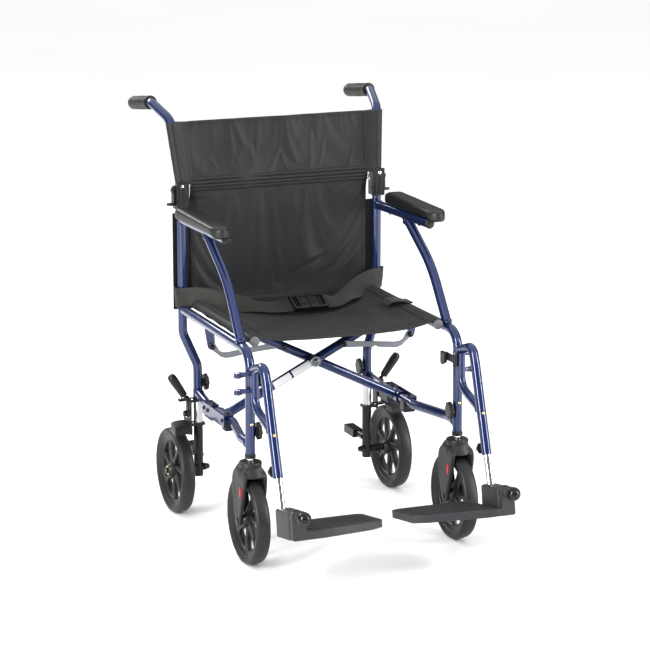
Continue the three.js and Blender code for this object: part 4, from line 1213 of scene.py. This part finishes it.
def channel_band(name, body, low, count, face):
    """Stitched channels across the back: soft ridges with a sewn groove between them."""
    pitch = 8.6
    profile = []
    for k in range(count):
        for j in range(7):
            s = j / 7
            z = low + pitch * (k + s)
            profile.append((face(z) - 2.0 - 2.6 * math.sin(math.pi * s) ** 0.6, z))
    end = low + pitch * count
    profile.append((face(end) - 2.0, end))
    profile += [(face(end) + 1, end - 1), (face(low) + 1, low + 1)]
    rings = []
    steps = 60
    for i in range(steps + 1):
        x = -PANEL_X + 2 * PANEL_X * i / steps
        rings.append([Vector((x, y + 0.5 * noise.noise(Vector((x / 22, z / 9, 3))), z))
                      for y, z in profile])
    piece = make(name, loft(bmesh.new(), rings), "cloth", None, crease=70)
    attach(piece, body)
    squash_with_fold(piece)
    return piece


def cane_centre(z):
    """Where the middle of the cane is at a height."""
    foot, bend = CANE["foot"], CANE["bend"]
    s = (z - foot[2]) / (bend[2] - foot[2])
    return foot[0] + (bend[0] - foot[0]) * s, foot[1] + (bend[1] - foot[1]) * s


def sleeve(name, side):
    """The upper panel's sleeve round the cane, from the fold to the top hem."""
    rings = []
    steps = 40
    for i in range(steps + 1):
        z = SLEEVE["bottom"] + (SLEEVE["top"] - SLEEVE["bottom"]) * i / steps
        cx, cy = cane_centre(z)
        soft = 0.8 * noise.noise(Vector((z / 16, side * 5, 2)))
        radius = 13.0 + 0.5 * soft
        seam_x, seam_y = SEAM_X - 3 + 6 * i / steps, upper_face(z)
        ring = []
        for k in range(25):
            t = math.radians(-104 + 208 * k / 24)
            ring.append(Vector((cx + radius * math.cos(t), cy + radius * math.sin(t), z)))
        rear, front = ring[-1].copy(), ring[0].copy()
        for k in range(1, 9):
            s = k / 8
            ring.append(Vector((rear.x + (seam_x - rear.x) * s,
                                rear.y + (seam_y + 2.2 - rear.y) * s - 1.2 * math.sin(math.pi * s), z)))
        for k in range(9):
            s = k / 9
            ring.append(Vector((seam_x + (front.x - seam_x) * s, seam_y - 2.4 + (front.y - seam_y + 2.4) * s
                                + (1.0 + soft) * math.sin(math.pi * s), z)))
        rings.append(ring)
    piece = make(f"back_sleeve_{name}", loft(bmesh.new(), rings), "cloth", f"cane_{name}", side, crease=60)
    threads = bmesh.new()
    for x_off in (0, 4.5):
        line = [(SEAM_X + 1.5 + x_off, 280, 781), (SEAM_X + 7.5 + x_off, 306, 918)]
        for k in range(30):
            a, b = [Vector(line[0]).lerp(Vector(line[1]), s / 30) for s in (k, k + 0.66)]
            ends = []
            for p in (a, b):
                mirrored = Vector((p.x * side, p.y, p.z))
                on = on_sheet(piece, mirrored, (0, -1, 0))
                ends.append(Vector((on.x * side, on.y - 0.3, on.z)))
            sweep(threads, ends, 0.5, 5)
    make(f"sleeve_stitching_{name}", threads, "thread", f"cane_{name}", side)
    return piece


def lower_side_strip(name, side):
    """The lower panel's edge, which passes behind the post and is screwed to it."""
    body = FRAME_OF[side]
    rings = []
    steps = 44
    for i in range(steps + 1):
        z = BACK["bottom"] + (STRIP_TOP - BACK["bottom"]) * i / steps
        wave = 0.9 * noise.noise(Vector((z / 20, side * 3, 8)))
        section = []
        for x, y in ((SEAM_X - 3, 293.2), (SEAM_X + 5, 294.6), (236, 296.4 + wave), (250, 297.4),
                     (259, 297.2), (262.5, 295.6), (263.6, 297.6), (262, 300.4), (250, 301), (236, 300.4),
                     (SEAM_X, 298.6)):
            section.append(Vector((x, y, z)))
        rings.append(section)
    piece = make(f"back_edge_{name}", loft(bmesh.new(), rings), "cloth", body, side, crease=60)
    threads = bmesh.new()
    for x in (SEAM_X + 2.5, 233, 258.5):
        for k in range(42):
            z = BACK["bottom"] + 3 + 4.6 * k
            y = 293.6 if x < 230 else 295.9
            sweep(threads, [Vector((x, y - 0.1, z)), Vector((x, y - 0.1, z + 3))], 0.55, 5)
    make(f"edge_stitching_{name}", threads, "thread", body, side)
    return piece


def back_upholstery():
    band_low, band_high = 758.6, 793.5
    lower = hung_panel("back_cloth_lower", "back_lower_panel", BACK["bottom"], BACK["fold"] + 0.6,
                       lower_face, lambda z: z > band_low, 11, LOWER_WRINKLES)
    upper = hung_panel("back_cloth_upper", "back_upper_panel", BACK["fold"] - 0.4, BACK["top"],
                       upper_face, lambda z: z < band_high, 23, UPPER_WRINKLES)
    threads = {"left_frame": bmesh.new(), "cane_left": bmesh.new()}
    stitch_line(threads["left_frame"], lower, [(-PANEL_X + 6, 280, 487), (PANEL_X - 6, 280, 487)])
    for side in (-1, 1):
        for inset in (7, 11):
            stitch_line(threads["left_frame"], lower,
                        [(side * (PANEL_X - inset), 280, 485), (side * (PANEL_X - inset), 280, 754)])
            stitch_line(threads["cane_left"], upper,
                        [(side * (PANEL_X - inset), 290, 797), (side * (PANEL_X - inset), 305, 917)])
    for drop in (5, 9):
        stitch_line(threads["cane_left"], upper,
                    [(-PANEL_X + 6, 290, BACK["top"] - drop), (PANEL_X - 6, 290, BACK["top"] - drop)])
    for piece, body in ((lower, "left_frame"), (upper, "cane_left")):
        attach(piece, body)
        squash_with_fold(piece)
        stitching = make(f"{piece.name}_stitching", threads[body], "thread", body)
        squash_with_fold(stitching)
    channel_band("back_channels_lower", "left_frame", BACK["fold"] - 0.05 - 17.2, 2, lower_face)
    channel_band("back_channels_upper", "cane_left", BACK["fold"] + 0.05, 2, upper_face)
    for name, side in SIDES:
        sleeve(name, side)
        lower_side_strip(name, side)


def seat():
    """The sling between the seat rails, with a sleeve round each rail."""
    half, front, rear = BRACE["x"], -133, 258
    columns, rows = round(2 * half / CLOTH_STEP), round((rear - front) / CLOTH_STEP)
    top = SEAT_RAIL["z"] + TUBE + 1.2
    bm = bmesh.new()

    def drop(u):
        return 17 * (1 - (2 * u - 1) ** 2)

    def place(u, v):
        x, y = -half + 2 * half * u, front + (rear - front) * v
        free = math.sin(math.pi * u)
        dent = crease((x + 0.5 * y, y), 31, 120, 60, 2.0) + crease((x - 0.8 * y, y), 37, 50, 150, 1.2)
        pull = 5 * free * (1 - v) ** 3 + 2 * free * v ** 4
        return Vector((x, y + pull, top - drop(u) * 0.6 + dent * free))

    grid(bm, columns, rows, place)
    sling = make("seat_cloth", bm, "seat", None, nodes=["seat_sling"])
    held = {j * (columns + 1) + i: 1.0 for j in range(rows + 1) for i in (0, columns)}
    held.update({rows * (columns + 1) + i: 0.9 for i in range(1, columns)})
    settle(sling, held, 0.004, 1.0, 1.2, 20, 9)
    thicken(sling, 2.2)
    threads = bmesh.new()
    for side in (-1, 1):
        for x in (half - 26, half - 22):
            stitch_line(threads, sling, [(side * x, front + 6, 500), (side * x, rear - 4, 500)],
                        towards=(0, 0, 1))
    stitch_line(threads, sling, [(-half + 30, front + 16, 500), (half - 30, front + 16, 500)],
                towards=(0, 0, 1))
    stitching = make("seat_stitching", threads, "thread", None)
    roll = []
    for i in range(61):
        u = i / 60
        x = -half + 8 + (2 * half - 16) * u
        on = on_sheet(sling, Vector((x, front + 8.5, 500)), (0, 0, 1))
        lip = Vector((x, front + 5 * math.sin(math.pi * u) + 0.6, on.z - 2.2))
        roll.append(lip)
    hem = make("seat_front_hem", sweep(bmesh.new(), roll, 3.0, 14), "seat", None)
    for piece in (sling, stitching, hem):
        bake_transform(piece)
    for name, side, body in (("right", 1, "brace_b"), ("left", -1, "brace_a")):
        seat_sleeve(name, side, body, front, rear)


def seat_sleeve(name, side, body, front, rear):
    """The cloth that wraps a seat rail: scalloped along its lower edge, with a screw in each scallop."""
    bm = bmesh.new()
    scallops, steps = 5, 120
    rings = []
    for i in range(steps + 1):
        s = i / steps
        y = front + (rear - front) * s
        wave = abs(math.sin(math.pi * scallops * s)) ** 0.6
        end = math.radians(8 - 34 * wave)
        angles = [math.radians(112) + (end - math.radians(112)) * k / 12 for k in range(13)]
        soft = 0.25 * noise.noise(Vector((y / 12, side, 5)))
        outer, inner = [[Vector((BRACE["x"] + radius * math.cos(a), y,
                                 SEAT_RAIL["z"] + radius * math.sin(a))) for a in angles]
                        for radius in (TUBE + 1.7 + soft, TUBE + 0.3)]
        rings.append(outer + inner[::-1])
    loft(bm, rings)
    make(f"seat_sleeve_{name}", bm, "seat", body, side, crease=60)
    bm = bmesh.new()
    for k in range(scallops):
        y = front + (rear - front) * (k + 0.5) / scallops
        screw(bm, (BRACE["x"] + TUBE + 1.2, y, SEAT_RAIL["z"] - 1), (1, 0, 0), 3.6, 1.8)
    make(f"seat_screws_{name}", bm, "black_steel", body, side)
    if side < 0:
        return
    rings = []
    for k in range(25):
        s = k / 24
        x = 172 + 59 * s
        lift = 506.5 + 6.4 * math.sin(math.pi * min(1, s * 1.2)) ** 0.7 + 4.4 * s
        lift += 1.2 * noise.noise(Vector((x / 9, 3, 1)))
        rings.append([Vector((x, 62 - 14 * s + a, lift + b)) for a, b in
                      ((-21, 0), (-20.6, 2.6), (20.6, 2.6), (21, 0), (20.6, -0.6), (-20.6, -0.6))])
    make("seat_strap", loft(bmesh.new(), rings), "webbing", body, side, bevel=0.3, crease=50)


# ---- lap belt ----
WEBBING = {"width": 48, "thick": 1.6}
BELT_PATHS = {"right": [((256, 300, 518), (0, 0.1, 1)), ((263, 287, 520), (0.1, 0, 1)),
                        ((252, 268.5, 521), (0.12, 0.1, 1)), ((226, 256, 522), (0.25, 0.4, 0.85)),
                        ((186, 226, 518), (0.36, 0.68, 0.6)), ((140, 184, 510.5), (0.42, 0.85, 0.25)),
                        ((96, 146, 507), (0.35, 0.93, 0.06)), ((62, 120, 511), (0.2, 0.95, 0.25)),
                        ((36, 106, 516), (0.08, 0.91, 0.41))],
              "left": [((256, 300, 512), (0, 0.1, 1)), ((263, 287, 512), (0.1, 0, 1)),
                       ((252, 268.5, 512), (0.1, 0.05, 1)), ((226, 248, 516), (0.18, 0.4, 0.9)),
                       ((190, 212, 516), (0.22, 0.6, 0.72)), ((150, 174, 511), (0.2, 0.8, 0.5)),
                       ((110, 142, 507), (0.25, 0.94, 0.2)), ((72, 118, 508), (0.2, 0.96, 0.2)),
                       ((36, 106, 516), (0.08, 0.91, 0.41))]}
BUCKLE_TILT = Matrix.Rotation(math.radians(24), 4, "X")


def belt(name, side):
    path = BELT_PATHS[name]
    middles = smooth_line([p for p, _ in path], 9)
    across = smooth_line([Vector(a).normalized() for _, a in path], 9)
    rings = []
    for i, (middle, way) in enumerate(zip(middles, across)):
        tangent = (middles[min(i + 1, len(middles) - 1)] - middles[max(i - 1, 0)]).normalized()
        way = (way - tangent * way.dot(tangent)).normalized()
        normal = tangent.cross(way).normalized() * WEBBING["thick"] / 2
        half = WEBBING["width"] / 2
        sag = 1.2 * math.sin(i * 0.33 + side)
        spread = [-1, -0.97, -0.6, -0.2, 0.2, 0.6, 0.97, 1]
        top = [middle + way * half * s + normal * (0.4 if abs(s) == 1 else 1) + normal * sag * (1 - s * s)
               for s in spread]
        bottom = [middle + way * half * s - normal * (0.4 if abs(s) == 1 else 1)
                  + normal * sag * (1 - s * s) for s in reversed(spread)]
        rings.append(top + bottom)
    piece = make(f"belt_{name}", loft(bmesh.new(), rings), "webbing", None, side,
                 nodes=[f"lap_belt_{name}"], crease=60)
    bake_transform(piece)


def buckle():
    """A side-release buckle: the tongue half on the right, the socket half on the left."""
    z = 511
    for node, side in (("buckle_tongue", 1), ("buckle_socket", -1)):
        bm = bmesh.new()
        inner = 0.3 if side > 0 else 0.6
        block(bm, inner, 25, 84, 122, z - 5, z + 4.5)
        for y0, y1 in ((78, 84.5), (121.5, 128)):
            prism(bm, [(inner, y0), (16, y0 - 1.4 if y0 < 100 else y0), (42, y0), (42, y1),
                       (16, y1 + 1.4 if y0 > 100 else y1), (inner, y1)], "z", z - 6, z + 6)
        block(bm, 36, 42, 80, 126, z - 5, z + 6.5)
        block(bm, 28.5, 31.5, 80, 126, z - 3, z + 4)
        block(bm, 24, 26.5, 80, 126, z - 5, z + 7)
        if side > 0:
            for y in (94, 103, 112):
                block(bm, 4, 20, y - 1.2, y + 1.2, z + 4, z + 5.6)
        else:
            block(bm, 6, 20, 92, 114, z + 4, z + 6)
        bmesh.ops.rotate(bm, verts=bm.verts, cent=(0, 103, z), matrix=BUCKLE_TILT)
        bmesh.ops.translate(bm, verts=bm.verts, vec=(0, 0, 5))
        make(f"{node}_body", bm, "gloss", node, side, bevel=1.1, segments=3, nodes=[node])


# ---- the whole chair ----
for side_name, side_sign in SIDES:
    side_frame(side_name, side_sign)
    rear_leg(side_name, side_sign)
    caster(side_name, side_sign)
    brake(side_name, side_sign)
    footrest(side_name, side_sign)
    guide_link(side_name, side_sign)
    back_hardware(side_name, side_sign)
    belt(side_name, side_sign)
brace("brace_tube_b", 1, BRACE["front"], "brace_b")
brace("brace_tube_a", -1, BRACE["rear"], "brace_a")
pivot()
blank_label()
seat()
back_upholstery()
buckle()


# ---- floor, light and camera ----
def studio_floor():
    size = 40
    mesh = bpy.data.meshes.new("studio_floor")
    mesh.from_pydata([(-size, -size, 0), (size, -size, 0), (size, size, 0), (-size, size, 0)], [],
                     [(0, 1, 2, 3)])
    piece = bpy.data.objects.new("studio_floor", mesh)
    bpy.context.scene.collection.objects.link(piece)
    made, tree, shader = new_finish("pale_floor", 0.9, Specular_IOR_Level=0.1)
    shade = texture(tree, "ShaderNodeTexNoise", 0.8, Detail=3.0)
    colour_between(tree, shader, shade.outputs["Fac"], (0.93, 0.93, 0.93), (0.95, 0.95, 0.95))
    mesh.materials.append(made)


def softbox(name, at, target, size, power):
    light = bpy.data.lights.new(name, "AREA")
    light.shape = "RECTANGLE"
    light.size, light.size_y = size
    light.energy = power
    lamp = bpy.data.objects.new(name, light)
    lamp.location = at
    lamp.rotation_euler = (Vector(target) - Vector(at)).to_track_quat("-Z", "Y").to_euler()
    bpy.context.scene.collection.objects.link(lamp)


def studio():
    world = bpy.data.worlds.new("studio_white")
    world.use_nodes = True
    background = world.node_tree.nodes["Background"]
    background.inputs["Color"].default_value = (1, 1, 1, 1)
    paths = world.node_tree.nodes.new("ShaderNodeLightPath")
    strength = world.node_tree.nodes.new("ShaderNodeMapRange")
    strength.inputs["To Min"].default_value = 0.3
    strength.inputs["To Max"].default_value = 1.0
    world.node_tree.links.new(paths.outputs["Is Camera Ray"], strength.inputs["Value"])
    world.node_tree.links.new(strength.outputs["Result"], background.inputs["Strength"])
    bpy.context.scene.world = world
    middle = (0, 0, 0.5)
    softbox("left_softbox", (-3.4, -2.2, 1.9), middle, (0.5, 2.8), 190)
    softbox("right_softbox", (3.1, -2.6, 1.6), middle, (0.45, 2.6), 130)
    softbox("back_softbox", (-1.2, 3.0, 2.4), middle, (2.4, 1.0), 60)
    sky = bpy.data.lights.new("overhead", "SUN")
    sky.energy = 2.3
    sky.angle = math.radians(120)
    lamp = bpy.data.objects.new("overhead", sky)
    bpy.context.scene.collection.objects.link(lamp)


CAMERA = {"azimuth": math.radians(-21.82), "elevation": math.radians(13.39), "distance": 6.224,
          "target": (0.0002, SHIFT * MM, 0.4849), "lens": 151}


def camera():
    azimuth, elevation = CAMERA["azimuth"], CAMERA["elevation"]
    back = Vector((math.sin(azimuth) * math.cos(elevation), -math.cos(azimuth) * math.cos(elevation),
                   math.sin(elevation)))
    data = bpy.data.cameras.new("camera")
    data.lens = CAMERA["lens"]
    data.sensor_width = 36
    holder = bpy.data.objects.new("camera", data)
    holder.location = Vector(CAMERA["target"]) + back * CAMERA["distance"]
    holder.rotation_euler = (-back).to_track_quat("-Z", "Y").to_euler()
    bpy.context.scene.collection.objects.link(holder)
    bpy.context.scene.camera = holder


studio_floor()
studio()
camera()
bpy.context.scene.view_settings.view_transform = "Standard"
bpy.context.scene.view_settings.gamma = 0.88
